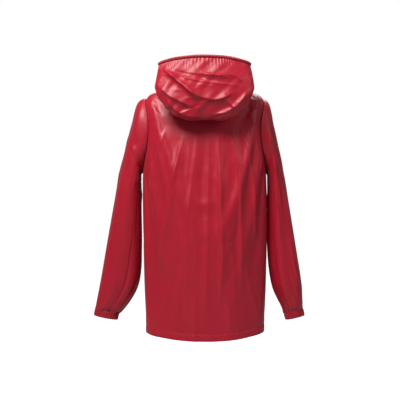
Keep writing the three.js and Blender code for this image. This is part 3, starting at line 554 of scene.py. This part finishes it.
class Shade:
    """A socket in a material's nodes. Arithmetic on it adds Math nodes, and add makes any other node."""

    def __init__(self, tree, socket=None):
        self.tree = tree
        self.socket = socket

    def add(self, kind, settings=None, inputs=None, output=0):
        """A node of a kind, with its settings made first, then the values or links of its sockets."""
        node = self.tree.nodes.new("ShaderNode" + kind)
        for name, value in (settings or {}).items():
            if name == "stops":
                while len(node.color_ramp.elements) < len(value):
                    node.color_ramp.elements.new(1)
                for stop, (place, colour) in zip(node.color_ramp.elements, value):
                    stop.position, stop.color = place, (*colour, 1)
            else:
                setattr(node, name, value)
        for name, value in (inputs or {}).items():
            if isinstance(value, Shade):
                self.tree.links.new(value.socket, node.inputs[name])
            else:
                node.inputs[name].default_value = value
        return Shade(self.tree, node.outputs[output])

    def math(self, operation, *values):
        """A Math node on the values, in order."""
        return self.add("Math", {"operation": operation}, dict(enumerate(values)))

    def __add__(self, other):
        return self.math("ADD", self, other)

    __radd__ = __add__

    def __mul__(self, other):
        return self.math("MULTIPLY", self, other)

    __rmul__ = __mul__

    def __sub__(self, other):
        return self.math("SUBTRACT", self, other)

    def __rsub__(self, other):
        return self.math("SUBTRACT", other, self)


def material(name, build, **fixed):
    """A material whose surface build(start) describes: it returns what feeds the shader's varying sockets.
    Fixed values are set on the shader's own sockets."""
    made = bpy.data.materials.new(name)
    made.use_nodes = True
    tree = made.node_tree
    shader = tree.nodes["Principled BSDF"]
    for socket, value in fixed.items():
        shader.inputs[socket.replace("_", " ")].default_value = value
    for socket, value in build(Shade(tree)).items():
        tree.links.new(value.socket, shader.inputs[socket])
    return made


def nylon(deep, bright, weave=0.10, crease=0.30):
    """Coated nylon: two tones in soft clouds, a taffeta weave, small crumples, and long creases down it."""

    def build(start):
        place = start.add("TexCoord", output="Object")
        flat = start.add("TexCoord", output="UV")
        long = start.add("Mapping", inputs={"Vector": place, "Scale": (1, 1, 0.3)})
        clouds = start.add("TexNoise", inputs={"Vector": long, "Scale": 9, "Detail": 3})
        tone = start.add("Mix", {"data_type": "RGBA"}, {0: clouds, 6: (*deep, 1), 7: (*bright, 1)}, output=2)
        creases = start.add(
            "TexNoise",
            inputs={"Vector": long, "Scale": 34, "Detail": 5, "Roughness": 0.62, "Distortion": 0.8},
        )
        drift = start.add("TexNoise", inputs={"Vector": place, "Scale": 20, "Detail": 2}, output=1)
        drift = start.add("VectorMath", {"operation": "SCALE"}, {0: drift, "Scale": 0.03})
        warped = start.add("VectorMath", {"operation": "ADD"}, {0: place, 1: drift})
        crumple = start.add(
            "TexVoronoi", {"feature": "SMOOTH_F1"}, {"Vector": warped, "Scale": 26, "Smoothness": 0.4}
        )
        warp = start.add("TexWave", {"bands_direction": "X"}, {"Vector": flat, "Scale": 900})
        weft = start.add("TexWave", {"bands_direction": "Y"}, {"Vector": flat, "Scale": 900})
        height = creases * 0.6 + crumple * 0.5
        rough = start.add("Bump", inputs={"Height": height, "Strength": crease, "Distance": 0.006})
        woven = start.add(
            "Bump", inputs={"Height": warp + weft, "Strength": weave, "Distance": 0.00002, "Normal": rough}
        )
        return {"Base Color": tone, "Roughness": 0.36 + 0.16 * creases, "Normal": woven}

    return build


RED_DEEP = (0.33, 0.0008, 0.013)
RED_BRIGHT = (0.43, 0.004, 0.022)
body_nylon = material(
    "body_nylon", nylon(RED_DEEP, RED_BRIGHT), Specular_IOR_Level=0.42, Sheen_Weight=0.05, Coat_Weight=0.0
)


def paint(piece, *finishes):
    """Gives a piece its materials: its own, and its thread's where it has stitches."""
    index = np.zeros(len(piece.data.polygons), np.int32)
    piece.data.polygons.foreach_get("material_index", index)
    piece.data.materials.clear()
    for finish in finishes:
        piece.data.materials.append(finish)
    piece.data.polygons.foreach_set("material_index", np.minimum(index, len(finishes) - 1))


def twisted(colour):
    """Sewing thread: one colour with fine slanting plies, and painted shade in the grooves between them."""

    def build(start):
        place = start.add("TexCoord", output="Object")
        plies = start.add("TexWave", {"bands_direction": "DIAGONAL"}, {"Vector": place, "Scale": 900})
        shaded = (0.1, 0, 0.005, 1)
        tone = start.add("Mix", {"data_type": "RGBA"}, {0: plies * 0.5, 6: (*colour, 1), 7: shaded}, output=2)
        return {"Base Color": tone, "Roughness": 0.45 + 0.2 * plies}

    return build


thread = material("thread", twisted((0.30, 0.002, 0.014)), Sheen_Weight=0.1)


def lengths(points):
    """Distances down and across a grid, in metres, measured along its middle column and its middle row."""
    rows, columns = points.shape[:2]
    down = np.linalg.norm(np.diff(points[:, columns // 2], axis=0), axis=1)
    over = np.linalg.norm(np.diff(points[rows // 2], axis=0), axis=1)
    v, u = (np.concatenate([[0], np.cumsum(steps)]) for steps in (down, over))
    return np.stack(np.meshgrid(u, v), axis=-1)


body_uv = lengths(body)
centre = half_angles.shape[1] - 1
cuts = [0, BACK_COLUMNS, BACK_COLUMNS + SIDE_COLUMNS, centre]


def blend_fold(piece):
    """Bakes a piece's transform into its mesh."""
    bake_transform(piece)


for side, turn in (("left", 1), ("right", -1)):
    for part, (low, high) in zip(("back", "side", "front"), zip(cuts, cuts[1:])):
        first, last = (low, high) if turn > 0 else (-high, -low)
        columns = slice(centre + first, centre + last + 1)
        shape, up = body[:, columns], body_normals[:, columns]
        hem_row = np.abs(hem_line[:, 0]).argmin()
        sewn = [(shape[row], up[row]) for row in (hem_row, BODY_ROWS - 2)]
        if part == "front":
            inner = 1 if turn < 0 else -2
            sewn += [(shape[:, inner], up[:, inner])]
        piece = cloth_piece(
            f"{side}_{part}_cloth", shape, up, keep=keep[:, columns], uv=body_uv[:, columns], sewn=sewn,
        )
        paint(piece, body_nylon, thread)
        if part == "front":
            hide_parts(f"{side}_front_panel", f"{side}_front_hem_band")
            blend_fold(piece)
        elif part == "side":
            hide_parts(f"{side}_side_panel", f"{side}_side_hem_band")
            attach(piece, "torso")
        else:
            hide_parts("back_panel", "back_hem_band")
            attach(piece, "torso")

# ---------------------------------------------------------------- sleeves
# Each sleeve is made in two lengths of one surface, an upper one and a lower one, and they meet on a level
# ring.

SLEEVE_SPLIT_Z = -0.285
RAISE_WAY = np.array([0.98, 0.0, -0.20]) / np.hypot(0.98, 0.20)  # from the shoulder out and down the arm


def gathers(angle, count, seed):
    """Uneven pleats round a ring, from 0 to 1: the absolute value of a sine whose phase drifts with the
    angle, to the power 0.7."""
    draw = np.random.default_rng(seed)
    drift = sum(draw.uniform(0.1, 0.35) * np.sin(k * angle + draw.uniform(0, 6.28)) for k in (1, 2, 3, 5))
    tall = 0.75 + 0.25 * np.sin(7 * angle + draw.uniform(0, 6.28)) * np.sin(3 * angle)
    return np.abs(np.sin(count * angle / 2 + drift * 2)) ** 0.7 * tall


for side, plan in SLEEVES.items():
    angle, seam_v, seam = seams[side]
    ladder = evenly(sleeve_surface(plan, np.full(500, np.pi / 2), np.linspace(0.1, 1, 500)), SLEEVE_ROWS)
    down_it = np.linspace(0, 1, 2000)
    heights = sleeve_surface(plan, *np.meshgrid(angle, down_it, indexing="ij"))[..., 2]
    split_v = np.array([np.interp(-SLEEVE_SPLIT_Z, -height, down_it) for height in heights])
    quarter = SLEEVE_COLUMNS // 4
    split = np.searchsorted(ladder, (split_v[quarter] - seam_v[quarter]) / (1 - seam_v[quarter]))
    above = np.clip(ladder / ladder[split], 0, 1)[:, None]
    below = np.clip((ladder - ladder[split]) / (1 - ladder[split]), 0, 1)[:, None]
    v = seam_v + (split_v - seam_v) * above + (1 - split_v) * below
    round_it = np.broadcast_to(angle[None], v.shape)
    shape = sleeve_surface(plan, round_it, v)
    if plan["turn"] > 0:
        facing = -grid_normals(shape, wraps=True)
    else:
        facing = grid_normals(shape, wraps=True)
    middle_line = shape[:, :-1].mean(1, keepdims=True)
    if ((shape - middle_line) * facing).sum() < 0:
        facing = -facing
    along = np.broadcast_to(ladder[:, None] * SLEEVE_LENGTH, v.shape)
    around = round_it * 0.055
    waves = 0.0018 * ripples(around, 0.3 * along, 11, 6, 0.05, 0.14)
    waves = waves + small_folds(around - 0.173, -along, 13 + plan["turn"], 40, 0.16, -0.03, -0.56, 0.2)
    pleats = 0.0042 * (gathers(round_it, 15, 21 + plan["turn"]) - 0.4)
    near_cuff = smooth(SLEEVE_LENGTH - 0.085, SLEEVE_LENGTH - 0.004, along)
    head = 0.0012 * smooth(0, 0.012, along) * (1 - smooth(0.03, 0.12, along))
    height = waves * smooth(0.005, 0.05, along) + pleats * near_cuff + head
    height[:, -1] = height[:, 0]
    close = smooth(0, 0.15, angle) * smooth(0, 0.15, 2 * np.pi - angle)
    height = height * close[None]
    shape = shape + height[..., None] * facing
    shape[:, -1] = shape[:, 0]
    facing = grid_normals(shape, wraps=True)
    if ((shape - middle_line) * facing).sum() < 0:
        shape, facing = shape[:, ::-1], -facing[:, ::-1]
        facing = grid_normals(shape, wraps=True)
    facing[:, -1] = facing[:, 0]
    uv = lengths(shape)
    sewn = [(shape[row], facing[row]) for row in (2, 4)]
    upper, lower = slice(0, split + 1), slice(split, None)
    piece = cloth_piece(
        f"{side}_upper_sleeve_cloth", shape[upper], facing[upper], uv=uv[upper], joined=True, sewn=sewn
    )
    paint(piece, body_nylon, thread)
    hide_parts(f"{side}_upper_sleeve")
    way = RAISE_WAY * (plan["turn"], 0, 1)
    tuple(way * (shape[0] @ way).max())
    tuple(way * (shape[split] @ way).min())
    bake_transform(piece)
    piece = cloth_piece(f"{side}_lower_sleeve_cloth", shape[lower], facing[lower], uv=uv[lower], joined=True)
    paint(piece, body_nylon)
    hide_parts(f"{side}_elbow", f"{side}_lower_sleeve")
    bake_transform(piece)

# ---------------------------------------------------------------- cuffs
# Each cuff is a band of the same nylon sewn round a short elastic, so it stands in close gathers.

CUFF_HEIGHT = 0.019
CUFF_ROWS = 20
CUFF_COLUMNS = 320
CUFF_GATHERS = 34


def ringed(middle, outward, down, depth_axis, half_width, half_depth, angle, along, out):
    """Ovals down an axis: the middle, plus the outward direction by the cosine of the angle and the depth
    direction by its sine, each as far as its half size and the distance out, plus the axis by along."""
    return (
        middle
        + (np.cos(angle) * (half_width + out))[..., None] * outward
        + (np.sin(angle) * (half_depth + out))[..., None] * depth_axis
        + along[..., None] * down
    )


cuff_nylon = material(
    "cuff_nylon", nylon((0.29, 0.0015, 0.012), (0.40, 0.004, 0.02)),
    Specular_IOR_Level=0.42, Sheen_Weight=0.05,
)
for side, plan in SLEEVES.items():
    outer_end, inner_end = sleeve_surface(plan, np.array([0, np.pi]), np.array([1.0, 1.0]))
    middle = (outer_end + inner_end) / 2
    outward = (outer_end - middle) / np.linalg.norm(outer_end - middle)
    down = np.array([outward[2] * plan["turn"], 0, -outward[0] * plan["turn"]])
    depth_axis = np.array([0.0, -plan["turn"], 0.0])
    angle, share = np.meshgrid(np.linspace(0, 2 * np.pi, CUFF_COLUMNS + 1), np.linspace(0, 1, CUFF_ROWS))
    pleat = gathers(angle, CUFF_GATHERS, 21 + plan["turn"])
    puff = np.sin(np.pi * share) ** 0.5
    out = 0.0004 + 0.0016 * pleat * (0.5 + 0.5 * puff) + 0.0008 * puff
    shape = ringed(
        middle, outward, down, depth_axis, np.linalg.norm(outer_end - middle), SLEEVE_HALF_DEPTHS[-1],
        angle, -0.001 + share * (CUFF_HEIGHT + 0.0015 + 0.0012 * pleat), out,
    )
    facing = grid_normals(shape, wraps=True)
    if ((shape - middle) * facing).sum() < 0:
        shape = shape[:, ::-1]
        facing = grid_normals(shape, wraps=True)
    facing[:, -1] = facing[:, 0]
    sewn = [(shape[row], facing[row]) for row in (1, 6, 12)]
    piece = cloth_piece(
        f"{side}_cuff_cloth", shape, facing, wall=0.0018, uv=lengths(shape), joined=True, sewn=sewn
    )
    paint(piece, cuff_nylon, thread)
    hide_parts(f"{side}_cuff")
    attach(piece, f"{side}_forearm")

# ---------------------------------------------------------------- hood
# The hood is cut from a centre strip and two sides. It lies back in heavy folds, and its rim is a hem
# rolled round an elastic, which draws it up into small gathers.

HOOD_SIDE = np.array([
    (0, -0.096), (0.0497, -0.094), (0.1076, -0.062), (0.138, -0.010), (0.135, 0.030), (0.128, 0.062),
])
HOOD_BACK = np.array([
    (0.070, -0.096), (0.084, -0.092), (0.097, -0.055), (0.100, -0.005), (0.094, 0.044), (0.084, 0.080),
])
HOOD_FRONT = np.array([
    (0.070, -0.096), (0.063, -0.093), (0.056, -0.076), (0.044, -0.049), (0.0263, -0.019), (0.0093, 0.012),
])
HOOD_SQUARENESS = 2.2
HOOD_COLUMNS = 300
HOOD_ROWS = 150
HOOD_FOLDS = [
    ([(0.120, 0.050), (0.085, 0.018), (0.050, -0.012), (0.012, -0.050)], 0.014, 0.014, 0.25, 0.25),
    ([(0.136, 0.005), (0.100, -0.028), (0.062, -0.048), (0.020, -0.066)], 0.012, 0.014, 0.30, 0.3),
    ([(0.070, 0.010), (0.020, -0.030), (-0.040, -0.040), (-0.095, -0.010)], 0.010, 0.013, 0.30, 0.3),
    ([(0.020, 0.034), (-0.030, 0.026), (-0.080, 0.026), (-0.118, 0.000)], 0.006, 0.012, 0.40, 0.4),
    ([(-0.125, -0.005), (-0.095, -0.045), (-0.060, -0.070), (-0.010, -0.084)], 0.012, 0.013, 0.35, 0.3),
    ([(0.115, -0.020), (0.090, -0.060), (0.050, -0.082), (0.000, -0.088)], 0.010, 0.012, 0.35, 0.3),
    ([(-0.048, -0.020), (-0.062, -0.045), (-0.080, -0.058), (-0.095, -0.050)], 0.008, 0.009, 0.40, 0.3),
]


def hood_surface(angle, v):
    """The hood's cup, from its lowest point at v = 0 up to its rim, at an angle from the centre back."""
    return profiled(HOOD_SIDE, HOOD_BACK, HOOD_FRONT, HOOD_SQUARENESS, angle, v)


ladder = evenly(curve(HOOD_BACK, fine), HOOD_ROWS)
ladder[0] = 0.004
angle, share = np.meshgrid(np.linspace(-np.pi, np.pi, HOOD_COLUMNS + 1), ladder)
hood = hood_surface(angle, share)
facing = -grid_normals(hood, wraps=True)
x, y, z = np.moveaxis(hood, -1, 0)
behind = smooth(0.045, 0.075, y)
height = behind * sum(fold(x, z, *drawn) for drawn in HOOD_FOLDS)
height += 0.0008 * ripples(x + 0.8 * z, z, 31, 7, 0.030, 0.080) * behind
height += behind * small_folds(z + 0.01, -0.20 - x, 34, 26, 0.07, -0.08, -0.34, 0.5)
rim_near = smooth(0.80, 1.0, share)
height = height * (1 - smooth(0.90, 1.0, share)) * smooth(0.0, 0.12, share)
height += 0.0030 * rim_near * (gathers(angle, 96, 33) - 0.5) * smooth(-0.05, 0.03, y)
hood = hood + height[..., None] * facing
hood = hood[:, ::-1]
facing = grid_normals(hood, wraps=True)
facing[:, -1] = facing[:, 0]
hood[:, -1] = hood[:, 0]
hood_nylon = material(
    "hood_nylon", nylon(RED_DEEP, RED_BRIGHT, crease=0.45), Specular_IOR_Level=0.42, Sheen_Weight=0.05
)
sewn = [(hood[HOOD_ROWS - 3], facing[HOOD_ROWS - 3])]
piece = cloth_piece("hood_cloth", hood, facing, wall=0.0010, uv=lengths(hood), joined=True, sewn=sewn)
paint(piece, hood_nylon, thread)
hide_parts("hood_centre_panel", "left_hood_panel", "right_hood_panel")
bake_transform(piece)

# The rim is a hem rolled round its elastic: a tube along the hood's upper edge, drawn into gathers.
RIM_RADIUS = 0.0044
RIM_END = 0.8 * np.pi
RIM_STEPS = 900
RIM_SIDES = 20
path_angle = np.linspace(-RIM_END, RIM_END, RIM_STEPS)
edge = hood_surface(path_angle, np.ones(RIM_STEPS))
rise = edge - hood_surface(path_angle, np.full(RIM_STEPS, 0.97))
rise /= np.linalg.norm(rise, axis=1, keepdims=True)
path = edge + rise * (RIM_RADIUS - 0.0022)
along = np.gradient(path, axis=0)
along /= np.linalg.norm(along, axis=1, keepdims=True)
over = np.cross(along, rise)
over /= np.linalg.norm(over, axis=1, keepdims=True)
turn_angle = np.linspace(0, 2 * np.pi, RIM_SIDES + 1)
pleat = gathers(path_angle, 150, 41)[:, None]
radius = RIM_RADIUS - 0.0006 + 0.0022 * pleat * (0.6 + 0.4 * np.cos(turn_angle)[None])
ends = np.clip(np.minimum(np.arange(RIM_STEPS), np.arange(RIM_STEPS)[::-1]) / 6, 0, 1)[:, None]
radius = radius * np.sqrt(1 - (1 - ends) ** 2 + 1e-4)
tube = path[:, None] + radius[..., None] * (
    np.cos(turn_angle)[None, :, None] * rise[:, None] + np.sin(turn_angle)[None, :, None] * over[:, None]
)
facing = grid_normals(tube, wraps=True)
if ((tube - path[:, None]) * facing).sum() < 0:
    tube = tube[:, ::-1]
    facing = grid_normals(tube, wraps=True)
facing[:, -1] = facing[:, 0]
piece = cloth_piece("hood_rim_cloth", tube, facing, wall=0.0006, uv=lengths(tube), joined=True)
paint(piece, cuff_nylon)
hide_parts("hood_rim_channel", "hood_elastic")
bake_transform(piece)

# ---------------------------------------------------------------- collar
# The collar is a band of the same nylon, sewn into the neck seam and topstitched along both edges. It
# stands up to the chin.

COLLAR_ROWS = 46
COLLAR_COLUMNS = 190
COLLAR_HEIGHTS = {"side": 0.044, "back": 0.015, "chin": 0.070}


def collar_surface(angle, share):
    """The collar over the neck seam: its height mixed between side, back and chin by the squared cosine of
    the angle, leaning in with the height."""
    seam = body_surface(angle, 0 * angle)
    toward = np.cos(angle)
    end = np.where(toward > 0, COLLAR_HEIGHTS["back"], COLLAR_HEIGHTS["chin"])
    height = COLLAR_HEIGHTS["side"] + (end - COLLAR_HEIGHTS["side"]) * toward**2
    up = height * (1 - share)
    out = 0.0016 * (1 - np.clip(-toward, 0, 1) ** 2) - FRONT_SLOPE * up
    return seam + np.stack([np.sin(angle) * out, toward * out, up], axis=-1)


collar_end = np.pi - np.arcsin((ZIP_HALF / BODY_SIDE[0, 0]) ** (BODY_SQUARENESS / 2))
for side, turn in (("left", 1), ("right", -1)):
    round_it = turn * np.linspace(0.0, collar_end, COLLAR_COLUMNS)
    angle, share = np.meshgrid(round_it, np.linspace(0, 1, COLLAR_ROWS))
    if turn < 0:
        angle = angle[:, ::-1]
    shape = collar_surface(angle, share)
    facing = grid_normals(shape)
    wave = 0.0012 * ripples(angle * 0.08, shape[..., 2], 51 + turn, 6, 0.015, 0.045)
    quiet = smooth(0, 0.3, share) * smooth(0, 0.25, 1 - share) * smooth(0.010, 0.03, np.abs(shape[..., 0]))
    shape = shape + (wave * quiet)[..., None] * facing
    up = grid_normals(shape)
    sewn = [(shape[row], up[row]) for row in (3, COLLAR_ROWS - 3)]
    piece = cloth_piece(f"{side}_collar_cloth", shape, up, uv=lengths(shape), sewn=sewn)
    paint(piece, body_nylon, thread)
    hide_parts(f"{side}_collar", f"{side}_chin_panel")
    blend_fold(piece)

# ---------------------------------------------------------------- zips
# The front zip and the two pocket zips are nylon coils sewn to woven tapes, with painted metal sliders and
# moulded pulls. Each pocket's mouth is framed by a welt of the jacket's own cloth.

COIL_PITCH = 0.0016
COIL_ROOT = 0.0034
COIL_TIP = 0.0004
COIL_FRONT = 0.0014
COIL_DEPTH = 0.0018
FRONT_ZIP_BOTTOM = np.array([0, BODY_FRONT[-1, 0], BODY_FRONT[-1, 1]])
FRONT_TEETH = (0.017, 0.689)
TAPE_REACH = 0.0105


def solid_piece(name, corners, faces, finish):
    """A closed piece from corners and four-cornered faces, with its faces turned outwards."""
    mesh = bpy.data.meshes.new(name)
    mesh.from_pydata(corners.reshape(-1, 3), [], faces)
    shape = bmesh.new()
    shape.from_mesh(mesh)
    bmesh.ops.recalc_face_normals(shape, faces=shape.faces)
    shape.to_mesh(mesh)
    shape.free()
    made = bpy.data.objects.new(name, mesh)
    bpy.context.scene.collection.objects.link(made)
    made.data.materials.append(finish)
    return made


def coil(axes, low, high, turn):
    """One side of a coil: a loop at every pitch, which is a block from the tape to a rounder, thicker head
    near the centre line. Each loop is four square sections along x, and the sides alternate by half a
    pitch."""
    middle, across, inward, up = axes
    z = np.arange(low + (COIL_PITCH / 2 if turn > 0 else COIL_PITCH), high, COIL_PITCH)
    x = np.array([COIL_ROOT, 0.0014, 0.0007, COIL_TIP]) * turn
    tall = np.array([0.00042, 0.00042, 0.00062, 0.00030])
    deep = np.array([0.8, 0.8, 1.0, 0.6]) * COIL_DEPTH / 2
    corner = np.array([(-1, -1), (1, -1), (1, 1), (-1, 1)])
    height = z[:, None, None] + (tall[:, None] * corner[:, 0])[None]
    depth = COIL_FRONT + COIL_DEPTH / 2 + (deep[:, None] * corner[:, 1])[None] + 0 * height
    out = x[None, :, None] + 0 * height
    corners = middle + out[..., None] * across + depth[..., None] * inward + height[..., None] * up
    faces = np.array(ring_sides(4) + [[3, 2, 1, 0], [12, 13, 14, 15]])
    every = (np.arange(len(z)) * 16)[:, None, None] + faces[None]
    return corners.reshape(-1, 3), every.reshape(-1, 4)


def tape(axes, low, high, inner, outer, front, thick):
    """A strip of tape beside the centre line, as a closed box of six faces drawn from its eight corners."""
    middle, across, inward, up = axes
    x, y, z = np.meshgrid((inner, outer), (front, front + thick), (low, high), indexing="ij")
    corners = middle + x[..., None] * across + y[..., None] * inward + z[..., None] * up
    faces = np.array([[0, 1, 3, 2], [4, 6, 7, 5], [0, 4, 5, 1], [2, 3, 7, 6], [0, 2, 6, 4], [1, 5, 7, 3]])
    return corners.reshape(-1, 3), faces


def together(parts):
    """Several sets of corners and faces as one."""
    corners, faces, count = [], [], 0
    for places, around in parts:
        corners.append(places)
        faces.append(around + count)
        count += len(places)
    return np.concatenate(corners), np.concatenate(faces)


def ribbed(colour, scale, depth=0.0001, rough=0.7):
    """Woven tape or ribbed elastic: fine bands along it and across it, with a little unevenness in its
    dye."""

    def build(start):
        place = start.add("TexCoord", output="Object")
        bands = start.add("TexWave", {"bands_direction": "Z"}, {"Vector": place, "Scale": scale})
        cross = start.add("TexWave", {"bands_direction": "DIAGONAL"}, {"Vector": place, "Scale": scale * 0.7})
        dye = start.add("TexNoise", inputs={"Vector": place, "Scale": 60})
        pale = tuple(min(1, 1.5 * part + 0.01) for part in colour)
        tone = start.add("Mix", {"data_type": "RGBA"}, {0: dye, 6: (*colour, 1), 7: (*pale, 1)}, output=2)
        bump = start.add("Bump", inputs={"Height": bands * cross, "Strength": 0.5, "Distance": depth})
        return {"Base Color": tone, "Roughness": rough + 0.15 * dye, "Normal": bump}

    return build


def cast(colour, grain, rough):
    """Cast metal or moulded plastic: fine grain, and faint smudges in its polish."""

    def build(start):
        place = start.add("TexCoord", output="Object")
        specks = start.add("TexNoise", inputs={"Vector": place, "Scale": grain, "Detail": 4})
        smudges = start.add("TexNoise", inputs={"Vector": place, "Scale": 90})
        worn = tuple(min(1, 1.35 * part + 0.02) for part in colour)
        tone = start.add("Mix", {"data_type": "RGBA"}, {0: smudges, 6: (*colour, 1), 7: (*worn, 1)}, output=2)
        bump = start.add("Bump", inputs={"Height": specks, "Strength": 0.25, "Distance": 0.0001})
        return {"Base Color": tone, "Roughness": rough + 0.2 * smudges, "Normal": bump}

    return build


tape_weave = material("tape_weave", ribbed((0.012, 0.010, 0.011), 420))
coil_nylon = material("coil_nylon", cast((0.012, 0.010, 0.011), 900, 0.28))
slider_metal = material("slider_metal", cast((0.30, 0.30, 0.32), 1200, 0.22), Metallic=1.0)
pull_plastic = material("pull_plastic", cast((0.014, 0.012, 0.013), 1500, 0.38))
lining_nylon = material("lining_nylon", nylon((0.20, 0.001, 0.01), (0.26, 0.003, 0.014)), Sheen_Weight=0.05)


def carry(finish, *names):
    """Gives solids that keep their shape their finish."""
    for name in names:
        node = frame["nodes"][name]
        node.data.materials.clear()
        node.data.materials.append(finish)


front_up = np.array(joints["zip_slide"]["axis"])
front_axes = (FRONT_ZIP_BOTTOM, np.array([1.0, 0, 0]), np.array([0, front_up[2], -front_up[1]]), front_up)
for side, turn in (("left", 1), ("right", -1)):
    piece = solid_piece(f"{side}_coil", *coil(front_axes, *FRONT_TEETH, turn), coil_nylon)
    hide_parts(f"{side}_zip_teeth")
    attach(piece, f"{side}_front")
    middle, across, inward, up, half = pockets[side]
    axes = (middle, across, inward, up)
    parts = [coil(axes, -POCKET_MOUTH[1] + 0.002, POCKET_MOUTH[1] - 0.002, way) for way in (1, -1)]
    parts += [
        tape(axes, -half, half, way * (COIL_ROOT - 0.0008), way * TAPE_REACH, 0.0027, 0.0007)
        for way in (1, -1)
    ]
    piece = solid_piece(f"{side}_pocket_coil", *together(parts), tape_weave)
    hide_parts(f"{side}_pocket_zip")
    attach(piece, f"{side}_front")

    # The welt is a rounded frame, whose section is a low arch between its inner and outer edges.
    bend, share = np.meshgrid(np.linspace(0, 2 * np.pi, 241), np.linspace(0, 1, 9))
    shape_x = np.sign(np.cos(bend)) * np.abs(np.cos(bend)) ** (2 / 7)
    shape_z = np.sign(np.sin(bend)) * np.abs(np.sin(bend)) ** (2 / 7)
    wide = POCKET_MOUTH[0] + 0.0062 * share
    tall = POCKET_MOUTH[1] - 0.002 + 0.0062 * share
    lift = -0.0004 - 0.0004 * np.sin(np.pi * share) ** 0.6
    welt = (
        middle
        + (wide * shape_x)[..., None] * across
        + (tall * shape_z)[..., None] * up
        + lift[..., None] * inward
    )
    facing = grid_normals(welt, wraps=True)
    if (facing @ inward).sum() > 0:
        welt = welt[:, ::-1]
        facing = grid_normals(welt, wraps=True)
    facing[:, -1] = facing[:, 0]
    piece = cloth_piece(
        f"{side}_pocket_welt", welt, facing, wall=0.0009, uv=lengths(welt), joined=True,
        sewn=[(welt[5], facing[5])],
    )
    paint(piece, body_nylon, thread)
    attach(piece, f"{side}_front")
    carry(tape_weave, f"{side}_zip_tape")
    carry(slider_metal, f"{side}_top_stop", f"{side}_pocket_slider")
    carry(pull_plastic, f"{side}_pocket_pull")
    carry(lining_nylon, f"{side}_pocket_bag")
carry(slider_metal, "zip_slider", "insertion_pin", "retainer_box")
carry(pull_plastic, "zip_pull")
carry(lining_nylon, "storm_guard")

# ---------------------------------------------------------------- neck trim, labels and elastic
# A ribbed tape binds the neck seam inside, and carries the loop; the neck label takes the same finish. The
# care label is blank satin. The elastics are black and ribbed.

binding_tape = material("binding_tape", ribbed((0.015, 0.012, 0.013), 300, 0.00015))
satin = material("satin", ribbed((0.72, 0.70, 0.67), 800, 0.00003, 0.35))
elastic_rib = material("elastic_rib", ribbed((0.02, 0.018, 0.02), 240, 0.0002))
carry(binding_tape, "neck_binding", "hanger_loop", "neck_label")
carry(satin, "care_label")
carry(elastic_rib, "left_cuff_elastic", "right_cuff_elastic")

# ---------------------------------------------------------------- stage, light and camera
# The jacket stands in a white room over a pale floor. A large soft light behind it is the key, a small one
# at its side fills the shade, and one in front lights the zips.

FLOOR_Z = -0.96
FLOOR_HALF = 9
ROOM_LIGHT = 0.15  # how bright the room is to everything but the camera

for name, energy, size, place, aim in (
    ("key_softbox", 105, 1.1, (0.9, 1.5, 1.8), (0, 0, -0.2)),
    ("side_softbox", 9, 0.9, (-2.0, 1.3, 0.9), (0, 0, -0.3)),
    ("front_softbox", 50, 1.5, (-0.6, -1.8, 1.8), (0, 0, -0.3)),
):
    light = bpy.data.lights.new(name, "AREA")
    light.energy, light.size = energy, size
    lamp = bpy.data.objects.new(name, light)
    lamp.location = place
    lamp.rotation_euler = (Vector(aim) - Vector(place)).to_track_quat("-Z", "Y").to_euler()
    bpy.context.scene.collection.objects.link(lamp)

world = bpy.data.worlds.new("studio")
world.use_nodes = True
background = world.node_tree.nodes["Background"]
background.inputs["Color"].default_value = (1, 1, 1, 1)
seen = Shade(world.node_tree).add("LightPath", output="Is Camera Ray")
world.node_tree.links.new((seen * (1 - ROOM_LIGHT) + ROOM_LIGHT).socket, background.inputs["Strength"])
bpy.context.scene.world = world
bpy.context.scene.view_settings.view_transform = "Standard"

floor_mesh = bpy.data.meshes.new("floor")
floor_corners = [
    (x * FLOOR_HALF, y * FLOOR_HALF, FLOOR_Z) for x, y in ((-1, -1), (1, -1), (1, 1), (-1, 1))
]
floor_mesh.from_pydata(floor_corners, [], [(0, 1, 2, 3)])
floor = bpy.data.objects.new("floor", floor_mesh)
bpy.context.scene.collection.objects.link(floor)
floor_paint = bpy.data.materials.new("floor_paint")
floor_paint.use_nodes = True
shader = floor_paint.node_tree.nodes["Principled BSDF"]
shader.inputs["Base Color"].default_value = (0.4, 0.4, 0.4, 1)
shader.inputs["Roughness"].default_value = 0.9
shader.inputs["Emission Strength"].default_value = 0.95
floor_seen = Shade(floor_paint.node_tree).add("LightPath", output="Is Camera Ray")
floor_paint.node_tree.links.new(floor_seen.socket, shader.inputs["Emission Color"])
floor_mesh.materials.append(floor_paint)

camera_data = bpy.data.cameras.new("camera")
camera_data.lens = 99
camera = bpy.data.objects.new("camera", camera_data)
camera.location = (0.013, 3.15, -0.319)
camera.rotation_euler = (np.pi / 2, 0, np.pi)
bpy.context.scene.collection.objects.link(camera)
bpy.context.scene.camera = camera
